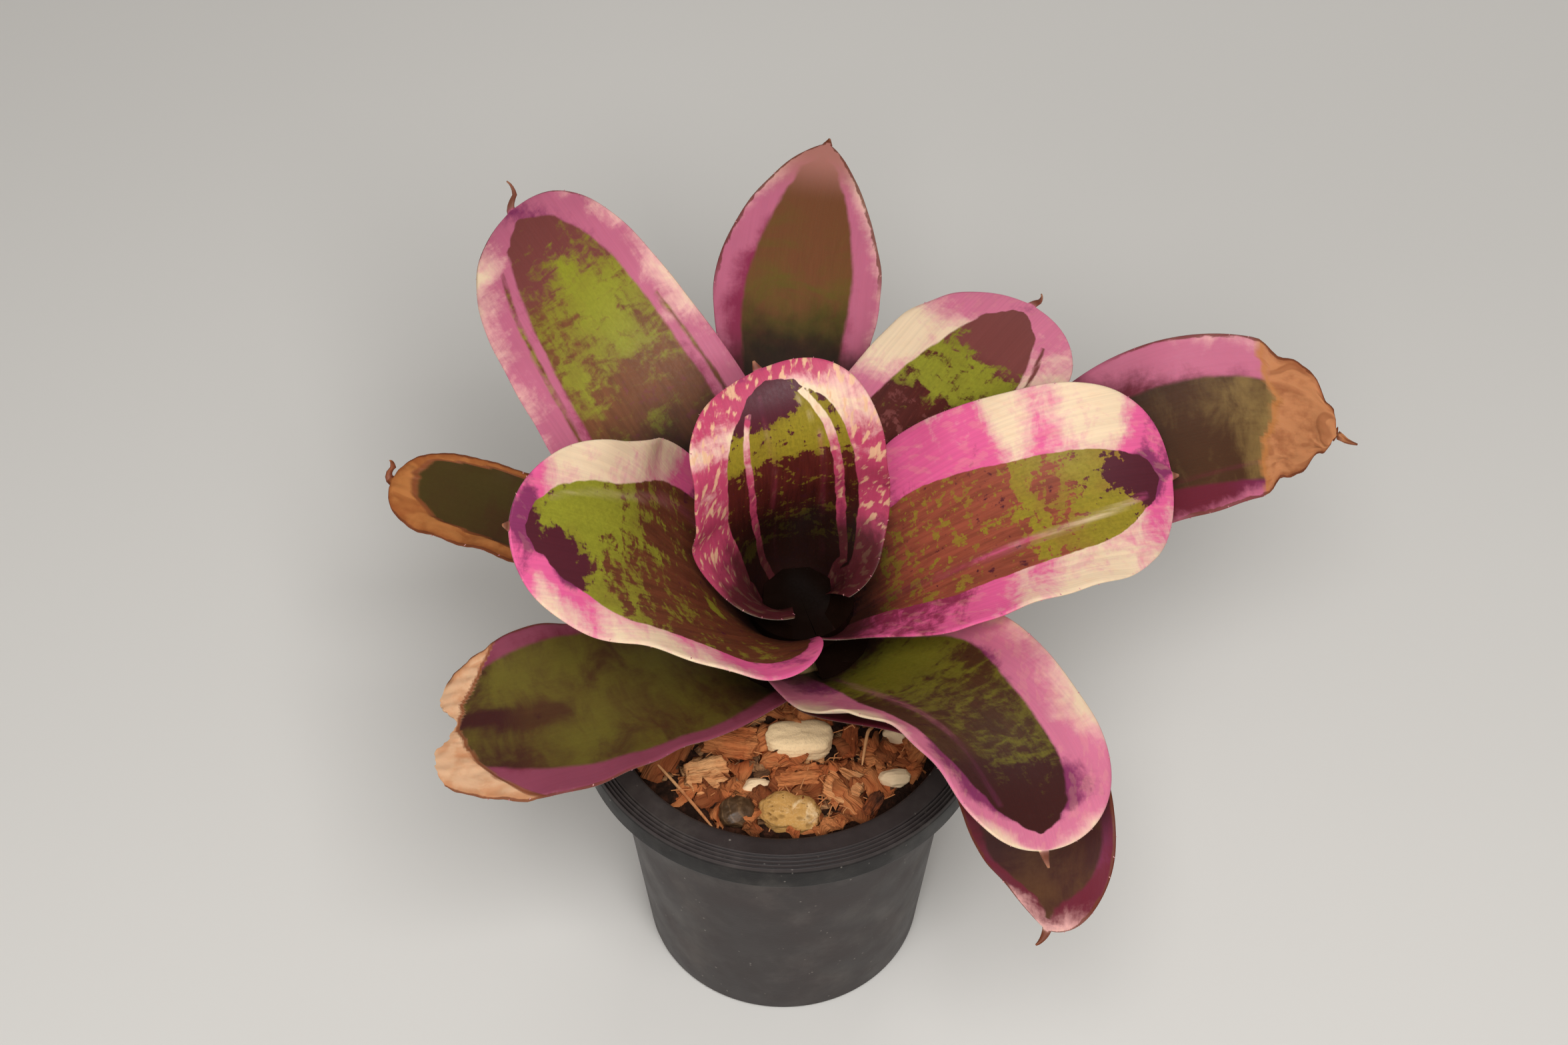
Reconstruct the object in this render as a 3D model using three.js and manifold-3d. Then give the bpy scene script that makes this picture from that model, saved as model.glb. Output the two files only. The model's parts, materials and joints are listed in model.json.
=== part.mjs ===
// A neoregelia bromeliad in a 10 cm nursery pot: eleven strap leaves round a water-holding cup,
// growing in a coarse husk mix with stones on top. Millimetres, +Z up. The origin is the middle of
// the pot's foot and the plant's front faces -Y.
import * as THREE from 'three';
import { mergeVertices } from 'three/addons/utils/BufferGeometryUtils.js';
import Module from 'manifold-3d';

const wasm = await Module();
wasm.setup();

// ---- driving dimensions -------------------------------------------------------------------------

const GAP = 0.3; // air between neighbouring pieces

const POT = {
  height: 88,
  rimRadius: 50,
  mouthRadius: 41.6,
  bandRadius: 46.4,
  footRadius: 35,
  wall: 1.4,
  base: 2,
  collarDepth: 9,
  sides: 44,
  mouthDraft: 0.2, // how much the mouth narrows from the lip to the neck
  collarDraft: 0.6,
  shoulder: 0.4, // how much the body widens again above the neck
  footChamfer: 0.8,
  ribs: 5,
  ribHeight: 0.3,
  ribCrest: 0.25, // place of a rib's crest and of the groove inside it, as shares of the pitch
  ribGroove: 0.85,
  drop: 2.9,
  bandWidth: 2,
  lipWidth: 0.6,
  lipDrop: 0.8,
  drainRadius: 3.5,
  drainCircle: 24,
  drains: 6,
  drainSides: 16,
};
const NECK = POT.height - POT.collarDepth; // level of the collar's lower edge
const NECK_RADIUS = POT.mouthRadius - POT.mouthDraft; // of the inner wall there

const MIX = { below: 7, mound: 4.6, moundRadius: 20, bump: 0.5, rings: 8, sides: 36 };
// Waves per millimetre that make the lumps: one pair along the axes and one slanting.
const LUMPS = { x: 0.83, y: 0.71, shift: 1.3, slantX: 0.37, slantY: 0.52, slantShare: 0.6 };
// Chips fused into the surface: how many, clear of wall and stem, and their sizes from least to most.
const SOWN = {
  count: 24,
  seed: 11,
  fromWall: 4,
  fromStem: 13,
  length: [4, 8],
  width: [3, 5.5],
  height: [2.4, 3.6],
  ragged: [0.8, 1.2],
  tilt: [-15, 15],
  rise: 0.05,
};

// Loose pieces on the mix: place from the pot's axis, size, turn and tilt in degrees. A stone is an
// ellipsoid at block 2 and boxier above it, and cleft is how deep a groove parts its two lobes.
const STONES = [
  { name: 'stone_cream', at: [3.8, -11.4], size: [15.8, 9.4, 7.5], yaw: 4, seed: 3, block: 3.4 },
  { name: 'stone_pitted', at: [1.6, -31], size: [14.6, 10, 7.5], yaw: -10, seed: 5, block: 2.5, cleft: 0.16 },
  { name: 'stone_white_left', at: [-6.6, -23.2], size: [7.4, 4.6, 4.2], yaw: 14, seed: 7 },
  { name: 'stone_white_right', at: [27.2, -8.4], size: [6.4, 5.2, 4.4], yaw: -30, seed: 9 },
  { name: 'stone_white_front', at: [26.6, -21.2], size: [8, 4.8, 4.4], yaw: 8, seed: 13 },
  { name: 'pebble_striped', at: [-11.2, -30.8], size: [8.6, 8, 5.5], yaw: 35, seed: 17 },
];
const HUSKS = [
  { name: 'husk_tan', at: [-18, -20.6], size: [11, 9.4, 3.4], yaw: 20, tilt: 14, seed: 21 },
  { name: 'husk_fibrous_mass', at: [-12.6, -10.8], size: [14, 8.4, 4.2], yaw: -12, tilt: 8, seed: 23 },
  { name: 'husk_fibrous_strip', at: [3.4, -20.8], size: [12.4, 5.6, 3.2], yaw: 6, tilt: -10, seed: 25 },
  { name: 'husk_red', at: [15.4, -11], size: [9, 4.2, 3.2], yaw: 82, tilt: 12, seed: 27 },
  { name: 'husk_three_lobed', at: [14.2, -23.4], size: [9.6, 9.8, 3.4], yaw: 70, tilt: 9, seed: 29 },
  { name: 'husk_right_small', at: [21.8, -14.4], size: [7, 4.2, 2.8], yaw: -16, tilt: 12, seed: 31 },
  { name: 'husk_right_large', at: [31.4, -14.6], size: [8.6, 6.4, 3], yaw: 58, tilt: -14, seed: 33 },
  { name: 'husk_dark', at: [21.2, -29], size: [7.4, 3.6, 3], yaw: 62, tilt: 10, seed: 35 },
];
const DENTS = [
  { depth: 0.08, waves: [['x', 3.1], ['y', 2.7]] },
  { depth: 0.05, waves: [['z', 5.3], ['x', 4.9]] },
  { depth: 0.03, waves: [['y', 8.1], ['z', 7.3]] },
];
const STONE = { rise: 0.22, finerFrom: 8.5, cleftAt: 0.1, cleftWidth: 0.22 };
const HUSK = {
  rise: 0.3,
  wear: 0.32,
  bow: 0.012,
  length: [0.92, 1.12],
  width: [0.9, 1.12],
  height: [0.75, 1.1],
};
const FIBRES = [
  { name: 'fibre_needle', path: [[-31, -15.6, 0.8], [-23.6, -25.4, 1.2], [-16.6, -35, 0.9]] },
  { name: 'fibre_curled', path: [[19.4, -3.6, 1.4], [21.4, -7.4, 3], [20.2, -10.6, 4.2], [18.8, -18.6, 3.6]] },
];
const FIBRE = { radius: 0.45, steps: 12 };

// Water standing in the cup and in two leaf axils: level above the rim, and where to look for it.
const CUP_WATER = { level: 25, radius: 12.6, floor: 20.4, sides: 28 };
const AXIL_WATERS = [
  { name: 'water_axil_right', level: 14.2, depth: 2.6, azimuth: [288, 352], radius: [5, 21] },
  { name: 'water_axil_left', level: 12, depth: 2.2, azimuth: [206, 262], radius: [7, 20.6] },
];

const AXIL_SIDES = 14;

const PLANT = { x: 4, y: 10 }; // where the plant's axis stands in the pot
const STEM = {
  footHeight: 18,
  ringStep: 2.1,
  topRadius: 5.5,
  spread: 5,
  spreadRings: 2.5,
  buried: 18,
  buriedRadius: 6.4,
  underFoot: 0.4,
  crownRadius: 4,
  dome: [1.2, 1.6],
  sides: 28,
};

// The paired numbers are shares of a leaf's length between which its form changes.
const LEAF = {
  thickness: 1.05,
  edge: 0.62,
  wrap: 2.55, // most that a sheath wraps round, radians each side
  waist: [0, 0.38],
  blade: [0.38, 0.72],
  open: [0.12, 0.5], // from the sheath's bend to the blade's
  roll: [0.15, 1],
  tip: [0.6, 1], // from the blade's bend to the tip's
  tooth: 0.5,
  pointHalf: 1.1,
  pointTaper: 0.55,
};
const TEAR = { middle: 0.1, reach: 0.55, corner: 0.35 };
const LEAF_GRID = { steps: 160, bladeRows: 11, tipRows: 6, pointRows: 2, columns: 8, teeth: [5, 13] };

// Rings count from the youngest leaf out. azimuth, swing, roll, cup and lean are degrees: lean is
// the midrib's angle from vertical at the foot, the middle and the tip. sheath, waist and blade are
// half widths. shoulder is where the tip starts to narrow, as a share of the length. point is the
// length of the small tip beyond the blade, curl its bend upward and aim its turn to the side.
const LEAVES = [
  {
    name: 'leaf_centre', ring: 0, azimuth: 116, length: 72, lean: [47, -8, 76], swing: 0, roll: -10,
    sheath: 38, waist: 26.5, blade: 24, cup: 31, tipCup: 24, shoulder: 0.62, round: 3.2, taper: 2,
    point: 2.5, curl: 40, aim: 0,
  },
  {
    name: 'leaf_right', ring: 1, azimuth: 10, length: 93, lean: [47, 66, 109], swing: 8, roll: 29,
    sheath: 17, waist: 30, blade: 27, cup: 33, tipCup: 28, shoulder: 0.59, round: 2.8, taper: 2,
    point: 2, curl: 30, aim: 0,
  },
  {
    name: 'leaf_left', ring: 2, azimuth: 210, length: 98, lean: [32, 37, 60], swing: -12, roll: -35,
    sheath: 14, waist: 37.5, blade: 26, cup: 32, tipCup: 9, shoulder: 0.6, round: 2.1, taper: 2,
    point: 2, curl: 30, aim: 0,
  },
  {
    name: 'leaf_rear_upright', ring: 3, azimuth: 50, length: 93, lean: [43, 60, 91], swing: 1, roll: -2,
    sheath: 18, waist: 26, blade: 24, cup: 19, tipCup: -8, shoulder: 0.64, round: 3.1, taper: 2,
    point: 5, curl: 110, aim: -40,
  },
  {
    name: 'leaf_rear_left_tall', ring: 4, azimuth: 133, length: 124, lean: [57, 58, 100], swing: -17,
    roll: -29, sheath: 18, waist: 26, blade: 23.5, cup: 15, tipCup: 15, shoulder: 0.57, round: 2.7,
    taper: 2, point: 9, curl: 100, aim: -60,
  },
  {
    name: 'leaf_front_right', ring: 5, azimuth: 312, length: 103, lean: [53, 62, 112], swing: -32,
    roll: -20, sheath: 21, waist: 27, blade: 23.5, cup: 27, tipCup: 25, shoulder: 0.62, round: 3.2,
    taper: 2, point: 4, curl: 20, aim: 0,
  },
  {
    name: 'leaf_front_left', ring: 6, azimuth: 219, length: 95, lean: [55, 76, 106], swing: -45, roll: -7,
    sheath: 15, waist: 20, blade: 24.4, cup: 19, tipCup: -2, shoulder: 0.5, round: 2.4, taper: 2,
    torn: 0.06, kept: 0.95,
  },
  {
    name: 'leaf_rear_pointed', ring: 7, azimuth: 92.5, length: 131, lean: [63, 65, 91], swing: -18, roll: 0,
    sheath: 20, waist: 16.5, blade: 23, cup: 18, tipCup: 15, shoulder: 0.57, round: 1.6, taper: 1.4,
    point: 2, curl: 20, aim: 0,
  },
  {
    name: 'leaf_far_right', ring: 8, azimuth: 25, length: 139, lean: [68, 63, 121], swing: -26, roll: 29,
    sheath: 17, waist: 18.5, blade: 23, cup: 11, tipCup: 23, shoulder: 0.59, round: 2.9, taper: 2,
    point: 6, curl: 60, aim: -15,
  },
  {
    name: 'leaf_far_left', ring: 9, azimuth: 155, length: 104, lean: [56, 84, 92], swing: 4, roll: -13,
    sheath: 15.5, waist: 13.5, blade: 12, cup: 16, tipCup: 2, shoulder: 0.72, round: 4, taper: 2,
    point: 7, curl: 120, aim: -80,
  },
  {
    name: 'leaf_lowest', ring: 10, azimuth: 323, length: 108, lean: [60, 74, 162], swing: -67, roll: 29,
    sheath: 13, waist: 12, blade: 17, cup: 20, tipCup: -7, shoulder: 0.65, round: 2.9, taper: 1.6,
    point: 5, curl: 100, aim: 0,
  },
];

// ---- colours ------------------------------------------------------------------------------------

const finish = (color, roughness) => new THREE.MeshStandardMaterial({ color, roughness, metalness: 0 });
const FINISH = {
  pot: finish(0x2b2b2e, 0.6),
  mix: finish(0x8a5230, 0.9),
  husk: finish(0xa4683c, 0.85),
  huskDark: finish(0x6b3c22, 0.85),
  stone: finish(0xd9cbb4, 0.8),
  pebble: finish(0x54483f, 0.5),
  stem: finish(0x7b7350, 0.7),
  leaf: finish(0x7a7434, 0.4),
  water: finish(0x1a1413, 0.05),
};

// ---- helpers ------------------------------------------------------------------------------------

const rad = THREE.MathUtils.degToRad;
const smooth = (from, to, x) => THREE.MathUtils.smoothstep(x, from, to);

function seeded(seed) {
  let state = seed;
  return () => {
    state = (state * 1664525 + 1013904223) % 4294967296;
    return state / 4294967296;
  };
}

const between = ([from, to], draw) => from + (to - from) * draw();

function weld(geometry) {
  const bare = geometry.clone();
  bare.deleteAttribute('normal');
  bare.deleteAttribute('uv');
  return mergeVertices(bare, 1e-4);
}

function solidOf(geometry) {
  const welded = weld(geometry);
  return new wasm.Manifold(
    new wasm.Mesh({
      numProp: 3,
      vertProperties: new Float32Array(welded.attributes.position.array),
      triVerts: new Uint32Array(welded.index.array),
    }),
  );
}

function geometryOf(solid) {
  const mesh = solid.getMesh();
  const geometry = new THREE.BufferGeometry();
  geometry.setAttribute('position', new THREE.BufferAttribute(mesh.vertProperties, 3));
  geometry.setIndex(new THREE.BufferAttribute(mesh.triVerts, 1));
  geometry.computeVertexNormals();
  return geometry;
}

const largest = (solid) => solid.decompose().reduce((a, b) => (b.volume() > a.volume() ? b : a));

function turned(outline, segments) {
  const points = outline.map(([radius, height]) => new THREE.Vector2(radius, height));
  return new THREE.LatheGeometry(points, segments).rotateX(Math.PI / 2);
}

// Moves each welded vertex of a shape by a rule.
function shaped(geometry, rule) {
  const welded = weld(geometry);
  const places = welded.attributes.position;
  const p = new THREE.Vector3();
  for (let i = 0; i < places.count; i += 1) {
    rule(p.fromBufferAttribute(places, i));
    places.setXYZ(i, p.x, p.y, p.z);
  }
  return welded;
}

// ---- pot ----------------------------------------------------------------------------------------

// The rim: a smooth band inside, then fine ribs that step down to the lip.
function rimOutline() {
  const { height, rimRadius, bandRadius, mouthRadius, ribs, ribHeight, ribCrest, ribGroove, drop } = POT;
  const pitch = (rimRadius - bandRadius) / ribs;
  const outline = [[rimRadius, height - drop]];
  for (let i = ribs; i > 0; i -= 1) {
    const radius = bandRadius + pitch * i;
    const slope = height - drop * ((radius - bandRadius) / (rimRadius - bandRadius));
    outline.push([radius - pitch * ribCrest, slope + ribHeight]);
    outline.push([radius - pitch * ribGroove, slope]);
  }
  outline.push([bandRadius - POT.bandWidth, height]);
  outline.push([mouthRadius + POT.lipWidth, height]);
  outline.push([mouthRadius, height - POT.lipDrop]);
  return outline;
}

function pot() {
  const { rimRadius, footRadius, footChamfer, wall, base } = POT;
  const underRim = POT.height - POT.drop - wall;
  const outline = [
    [0, 0],
    [footRadius - footChamfer, 0],
    [footRadius, footChamfer],
    [NECK_RADIUS + wall, NECK],
    [NECK_RADIUS + wall + POT.shoulder, underRim],
    [rimRadius - wall - POT.collarDraft, underRim],
    [rimRadius - wall, NECK],
    [rimRadius, NECK],
    ...rimOutline(),
    [NECK_RADIUS, NECK],
    [footRadius - wall, base],
    [0, base],
  ];
  let solid = solidOf(turned(outline, POT.sides));
  for (let i = 0; i < POT.drains; i += 1) {
    const angle = ((i + 0.5) / POT.drains) * Math.PI * 2;
    const hole = new THREE.CylinderGeometry(POT.drainRadius, POT.drainRadius, base * 4, POT.drainSides);
    hole.rotateX(Math.PI / 2);
    hole.translate(POT.drainCircle * Math.cos(angle), POT.drainCircle * Math.sin(angle), 0);
    solid = solid.subtract(solidOf(hole));
  }
  return geometryOf(solid);
}

// ---- plant --------------------------------------------------------------------------------------

// Radius and height at which the leaf of a ring leaves the stem.
function foot(ring) {
  return {
    radius: STEM.topRadius + STEM.spread * (1 - Math.exp(-ring / STEM.spreadRings)),
    height: POT.height + STEM.footHeight - STEM.ringStep * ring,
  };
}

// The short stem, narrowing upward inside the leaves' feet; grow swells it to cut clearance with.
function stem(grow = 0) {
  const bottom = POT.height - STEM.buried - grow;
  const outline = [[0, bottom], [STEM.buriedRadius + grow, bottom]];
  for (let ring = LEAVES.length - 1; ring >= 0; ring -= 2) {
    const { radius, height } = foot(ring);
    outline.push([radius - LEAF.thickness / 2 - 2 * GAP + grow, height - STEM.underFoot]);
  }
  const [shoulder, crown] = STEM.dome.map((rise) => POT.height + STEM.footHeight + rise + grow);
  outline.push([STEM.crownRadius + grow, shoulder]);
  outline.push([0, crown]);
  return turned(outline, STEM.sides).translate(PLANT.x, PLANT.y, 0);
}

// The midrib's lean from vertical and its heading, both in radians, at a share s of the length.
function course(leaf, s) {
  const [footLean, middleLean, tipLean] = leaf.lean;
  const lean = footLean * (1 - s) * (1 - 2 * s) + 4 * middleLean * s * (1 - s) + tipLean * s * (2 * s - 1);
  return { lean: rad(lean), heading: rad(leaf.azimuth + leaf.swing * s * s) };
}

function tangent({ lean, heading }) {
  return new THREE.Vector3(
    Math.sin(lean) * Math.cos(heading),
    Math.sin(lean) * Math.sin(heading),
    Math.cos(lean),
  );
}

function midrib(leaf) {
  const { radius, height } = foot(leaf.ring);
  const start = rad(leaf.azimuth);
  const steps = LEAF_GRID.steps;
  const points = [
    new THREE.Vector3(PLANT.x + radius * Math.cos(start), PLANT.y + radius * Math.sin(start), height),
  ];
  for (let i = 0; i < steps; i += 1) {
    const step = tangent(course(leaf, i / steps)).add(tangent(course(leaf, (i + 1) / steps)));
    points.push(points[i].clone().addScaledVector(step, leaf.length / steps / 2));
  }
  return points;
}

function pointOn(points, s) {
  const place = Math.min(s, 1) * (points.length - 1);
  const i = Math.min(Math.floor(place), points.length - 2);
  return points[i].clone().lerp(points[i + 1], place - i);
}

// Half width before the tip narrows: sheath, then waist, then blade.
function strapWidth(leaf, s) {
  const past = smooth(...LEAF.waist, s);
  const blade = smooth(...LEAF.blade, s);
  return leaf.sheath * (1 - past) + (leaf.waist * (1 - blade) + leaf.blade * blade) * past;
}

function tipNarrowing(leaf, s) {
  const x = THREE.MathUtils.clamp((s - leaf.shoulder) / (1 - leaf.shoulder), 0, 1);
  return Math.max(1 - x ** leaf.round, 0) ** (1 / leaf.taper);
}

// The leaf's cross-section at s: an arc of the given bend, about the axes across and up.
function section(leaf, points, s) {
  const way = course(leaf, s);
  const centre = pointOn(points, s);
  const along = tangent(way);
  const inward = new THREE.Vector3(
    -Math.cos(way.lean) * Math.cos(way.heading),
    -Math.cos(way.lean) * Math.sin(way.heading),
    Math.sin(way.lean),
  );
  const side = along.clone().cross(inward);
  const roll = rad(leaf.roll) * smooth(...LEAF.roll, s);
  const up = inward.clone().multiplyScalar(Math.cos(roll)).addScaledVector(side, Math.sin(roll));
  const across = side.clone().multiplyScalar(Math.cos(roll)).addScaledVector(inward, -Math.sin(roll));

  const fromAxis = Math.hypot(centre.x - PLANT.x, centre.y - PLANT.y);
  const flat = smooth(...LEAF.tip, s);
  const strap = strapWidth(leaf, s);
  const bladeBend = rad(leaf.cup * (1 - flat) + leaf.tipCup * flat) / strap;
  const open = smooth(...LEAF.open, s);
  const bend = (Math.cos(way.lean) / fromAxis) * (1 - open) + bladeBend * open;
  const safeBend = Math.abs(bend) < 1e-6 ? 1e-6 : bend;
  const widest = Math.min(strap, LEAF.wrap / Math.abs(safeBend));
  const half = Math.max(widest * tipNarrowing(leaf, s), LEAF.pointHalf);
  return { centre, along, across, up, bend: safeBend, half };
}

// Middle of the leaf's thickness and the way up from it, at a share u of the half width.
function surfacePoint({ centre, across, up, bend, half }, u, grow) {
  const angle = u * (half + grow) * bend;
  const place = centre
    .clone()
    .addScaledVector(across, Math.sin(angle) / bend)
    .addScaledVector(up, (1 - Math.cos(angle)) / bend);
  const normal = up.clone().multiplyScalar(Math.cos(angle)).addScaledVector(across, -Math.sin(angle));
  return { place, normal };
}

// The small curled point past the end of the blade, m of the way along it.
function pointSection(leaf, end, m) {
  const curl = rad(leaf.curl);
  const turn = curl * m;
  const forward = end.along.clone().applyAxisAngle(end.up, rad(leaf.aim) * Math.min(1, 2 * m));
  const centre = end.centre
    .clone()
    .addScaledVector(forward, (leaf.point * Math.sin(turn)) / curl)
    .addScaledVector(end.up, (leaf.point * (1 - Math.cos(turn))) / curl);
  const across = end.across.clone().applyAxisAngle(end.up, rad(leaf.aim) * Math.min(1, 2 * m));
  const up = end.up.clone().multiplyScalar(Math.cos(turn)).addScaledVector(forward, -Math.sin(turn));
  return { ...end, centre, across, up, half: LEAF.pointHalf * (1 - LEAF.pointTaper * m) };
}

function bladePlaces(leaf) {
  const end = leaf.kept ?? 1;
  const places = [];
  for (let i = 0; i < LEAF_GRID.bladeRows; i += 1) places.push((leaf.shoulder * i) / LEAF_GRID.bladeRows);
  for (let i = 0; i <= LEAF_GRID.tipRows; i += 1) {
    places.push(leaf.shoulder + (end - leaf.shoulder) * Math.sin((i / LEAF_GRID.tipRows) * (Math.PI / 2)));
  }
  return places;
}

// A torn end is notched between two lobes: its middle columns stop short.
function tornPlace(leaf, s, u) {
  const notch = Math.max(0, 1 - Math.abs(u - TEAR.middle) / TEAR.reach) + TEAR.corner * Math.abs(u) ** 4;
  return s - (leaf.torn ?? 0) * notch * smooth(leaf.shoulder, 1, s);
}

// Rows of points across the leaf, from foot to tip; grow swells the leaf to cut clearance with.
function leafRows(leaf, grow) {
  const points = midrib(leaf);
  const columns = LEAF_GRID.columns;
  const shares = Array.from({ length: columns + 1 }, (_, j) => (2 * j) / columns - 1);
  const rows = bladePlaces(leaf).map((s) =>
    shares.map((u) => ({ u, ...surfacePoint(section(leaf, points, tornPlace(leaf, s, u)), u, grow) })),
  );
  if (leaf.point) {
    const end = section(leaf, points, 1);
    for (let i = 1; i <= LEAF_GRID.pointRows; i += 1) {
      const tip = pointSection(leaf, end, i / LEAF_GRID.pointRows);
      rows.push(shares.map((u) => ({ u, ...surfacePoint(tip, u, grow) })));
    }
  }
  return rows;
}

// Closed shell round the rows. Both faces are split into triangles alike, and every second stretch
// of margin carries a small tooth.
function leafGeometry(leaf, grow = 0) {
  const rows = leafRows(leaf, grow);
  const columns = LEAF_GRID.columns;
  const places = [];
  const faces = [];
  const add = (point) => places.push(point.x, point.y, point.z) / 3 - 1;
  const half = (u) => THREE.MathUtils.lerp(LEAF.thickness, LEAF.edge, Math.abs(u) ** 3) / 2 + grow;
  const upper = rows.map((row) => row.map((q) => add(q.place.clone().addScaledVector(q.normal, half(q.u)))));
  const lower = rows.map((row) => row.map((q) => add(q.place.clone().addScaledVector(q.normal, -half(q.u)))));

  for (let i = 0; i + 1 < rows.length; i += 1) {
    for (let j = 0; j < columns; j += 1) {
      faces.push(upper[i][j], upper[i][j + 1], upper[i + 1][j + 1]);
      faces.push(upper[i][j], upper[i + 1][j + 1], upper[i + 1][j]);
      faces.push(lower[i][j], lower[i + 1][j + 1], lower[i][j + 1]);
      faces.push(lower[i][j], lower[i + 1][j], lower[i + 1][j + 1]);
    }
  }
  for (const [i, flip] of [[0, true], [rows.length - 1, false]]) {
    for (let j = 0; j < columns; j += 1) {
      const quad = [upper[i][j], upper[i][j + 1], lower[i][j + 1], lower[i][j]];
      if (flip) quad.reverse();
      faces.push(quad[0], quad[1], quad[2], quad[0], quad[2], quad[3]);
    }
  }
  for (const [j, flip] of [[0, false], [columns, true]]) {
    for (let i = 0; i + 1 < rows.length; i += 1) {
      const ring = [upper[i][j], upper[i + 1][j], lower[i + 1][j], lower[i][j]];
      if (flip) ring.reverse();
      const toothed = grow === 0 && i >= LEAF_GRID.teeth[0] && i <= LEAF_GRID.teeth[1] && i % 2 === 1;
      if (toothed) {
        const inner = j === 0 ? 1 : columns - 1;
        const here = rows[i][j].place.clone().add(rows[i + 1][j].place).multiplyScalar(0.5);
        const inside = rows[i][inner].place.clone().add(rows[i + 1][inner].place).multiplyScalar(0.5);
        const out = here.clone().sub(inside).normalize();
        const peak = add(here.addScaledVector(out, LEAF.tooth));
        for (let k = 0; k < 4; k += 1) faces.push(ring[k], ring[(k + 1) % 4], peak);
      } else {
        faces.push(ring[0], ring[1], ring[2], ring[0], ring[2], ring[3]);
      }
    }
  }
  const geometry = new THREE.BufferGeometry();
  geometry.setAttribute('position', new THREE.Float32BufferAttribute(places, 3));
  geometry.setIndex(faces);
  geometry.computeVertexNormals();
  return geometry;
}

// The leaves swollen by the gap, for cutting what fills the space between them.
const clearances = LEAVES.map((leaf) => solidOf(leafGeometry(leaf, GAP)));
const withoutLeaves = (solid) => clearances.reduce((left, leaf) => left.subtract(leaf), solid);

// ---- water --------------------------------------------------------------------------------------

function cupWater() {
  const depth = CUP_WATER.level - CUP_WATER.floor;
  const slab = new THREE.CylinderGeometry(CUP_WATER.radius, CUP_WATER.radius, depth, CUP_WATER.sides);
  slab.rotateX(Math.PI / 2);
  slab.translate(PLANT.x, PLANT.y, POT.height + CUP_WATER.floor + depth / 2);
  return geometryOf(largest(withoutLeaves(solidOf(slab))));
}

function axilWater({ level, depth, azimuth, radius }) {
  const [from, to] = azimuth.map(rad);
  const sector = new THREE.Shape();
  sector.absarc(0, 0, radius[1], from, to, false);
  sector.absarc(0, 0, radius[0], to, from, true);
  const slab = new THREE.ExtrudeGeometry(sector, { depth, bevelEnabled: false, curveSegments: AXIL_SIDES });
  slab.translate(PLANT.x, PLANT.y, POT.height + level - depth);
  const free = withoutLeaves(solidOf(slab)).subtract(solidOf(stem(GAP)));
  return geometryOf(largest(free));
}

// ---- potting mix and what lies on it -------------------------------------------------------------

// Height of the mix: level at the wall, mounded round the stem, with small lumps.
function mixHeight(x, y) {
  const fromStem = Math.hypot(x - PLANT.x, y - PLANT.y);
  const mound = MIX.mound * Math.exp(-((fromStem / MIX.moundRadius) ** 2));
  const straight = Math.sin(LUMPS.x * x + LUMPS.shift) * Math.cos(LUMPS.y * y);
  const slanting = LUMPS.slantShare * Math.sin(LUMPS.slantX * x - LUMPS.slantY * y);
  return POT.height - MIX.below + mound + MIX.bump * (straight + slanting);
}

// Radius of the mix at a height: the pot's inner wall less the gap.
function mixRadius(height) {
  const floorRadius = POT.footRadius - POT.wall;
  const share = Math.min((height - POT.base) / (NECK - POT.base), 1);
  return floorRadius + (NECK_RADIUS - floorRadius) * share - GAP;
}

function mixBody() {
  const floor = POT.base + GAP;
  const brim = POT.height - MIX.below;
  const outline = [[0, floor], [mixRadius(floor) - GAP, floor], [mixRadius(NECK), NECK]];
  for (let i = 0; i <= MIX.rings; i += 1) outline.push([mixRadius(brim) * (1 - i / MIX.rings), brim]);
  return shaped(turned(outline, MIX.sides), (p) => {
    if (p.z > brim - GAP) p.z = mixHeight(p.x, p.y);
  });
}

function placed(geometry, { at, yaw = 0, tilt = 0 }, rise) {
  return geometry
    .rotateX(rad(tilt))
    .rotateZ(rad(yaw))
    .translate(at[0], at[1], mixHeight(at[0], at[1]) + rise);
}

// How far the dents move a stone's surface at p, as a share of its radius.
function dent(p, phases) {
  return DENTS.reduce((sum, { depth, waves }, i) => {
    const [first, second] = waves.map(([axis, rate], k) => Math.sin(rate * p[axis] + phases[2 * i + k]));
    return sum + depth * first * second;
  }, 0);
}

// A weathered stone: a boxy ball with dents, and in the pitted one a groove between two lobes.
function stone({ at, size, yaw, seed, block = 2, cleft = 0 }, grow = 0) {
  const draw = seeded(seed);
  const phases = Array.from({ length: 2 * DENTS.length }, () => draw() * Math.PI * 2);
  const detail = size[0] > STONE.finerFrom ? 2 : 1;
  const rounded = shaped(new THREE.IcosahedronGeometry(1, detail), (p) => {
    const ball = Math.abs(p.x) ** block + Math.abs(p.y) ** block + Math.abs(p.z) ** block;
    const groove = cleft * Math.exp(-(((p.x - STONE.cleftAt) / STONE.cleftWidth) ** 2));
    const radius = ball ** (-1 / block) * (1 + dent(p, phases) - groove);
    p.multiplyScalar(radius);
    p.set((p.x * size[0]) / 2, (p.y * size[1]) / 2, (p.z * size[2]) / 2);
    p.addScaledVector(p.clone().normalize(), grow);
  });
  return placed(rounded, { at, yaw }, size[2] * STONE.rise);
}

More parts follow.
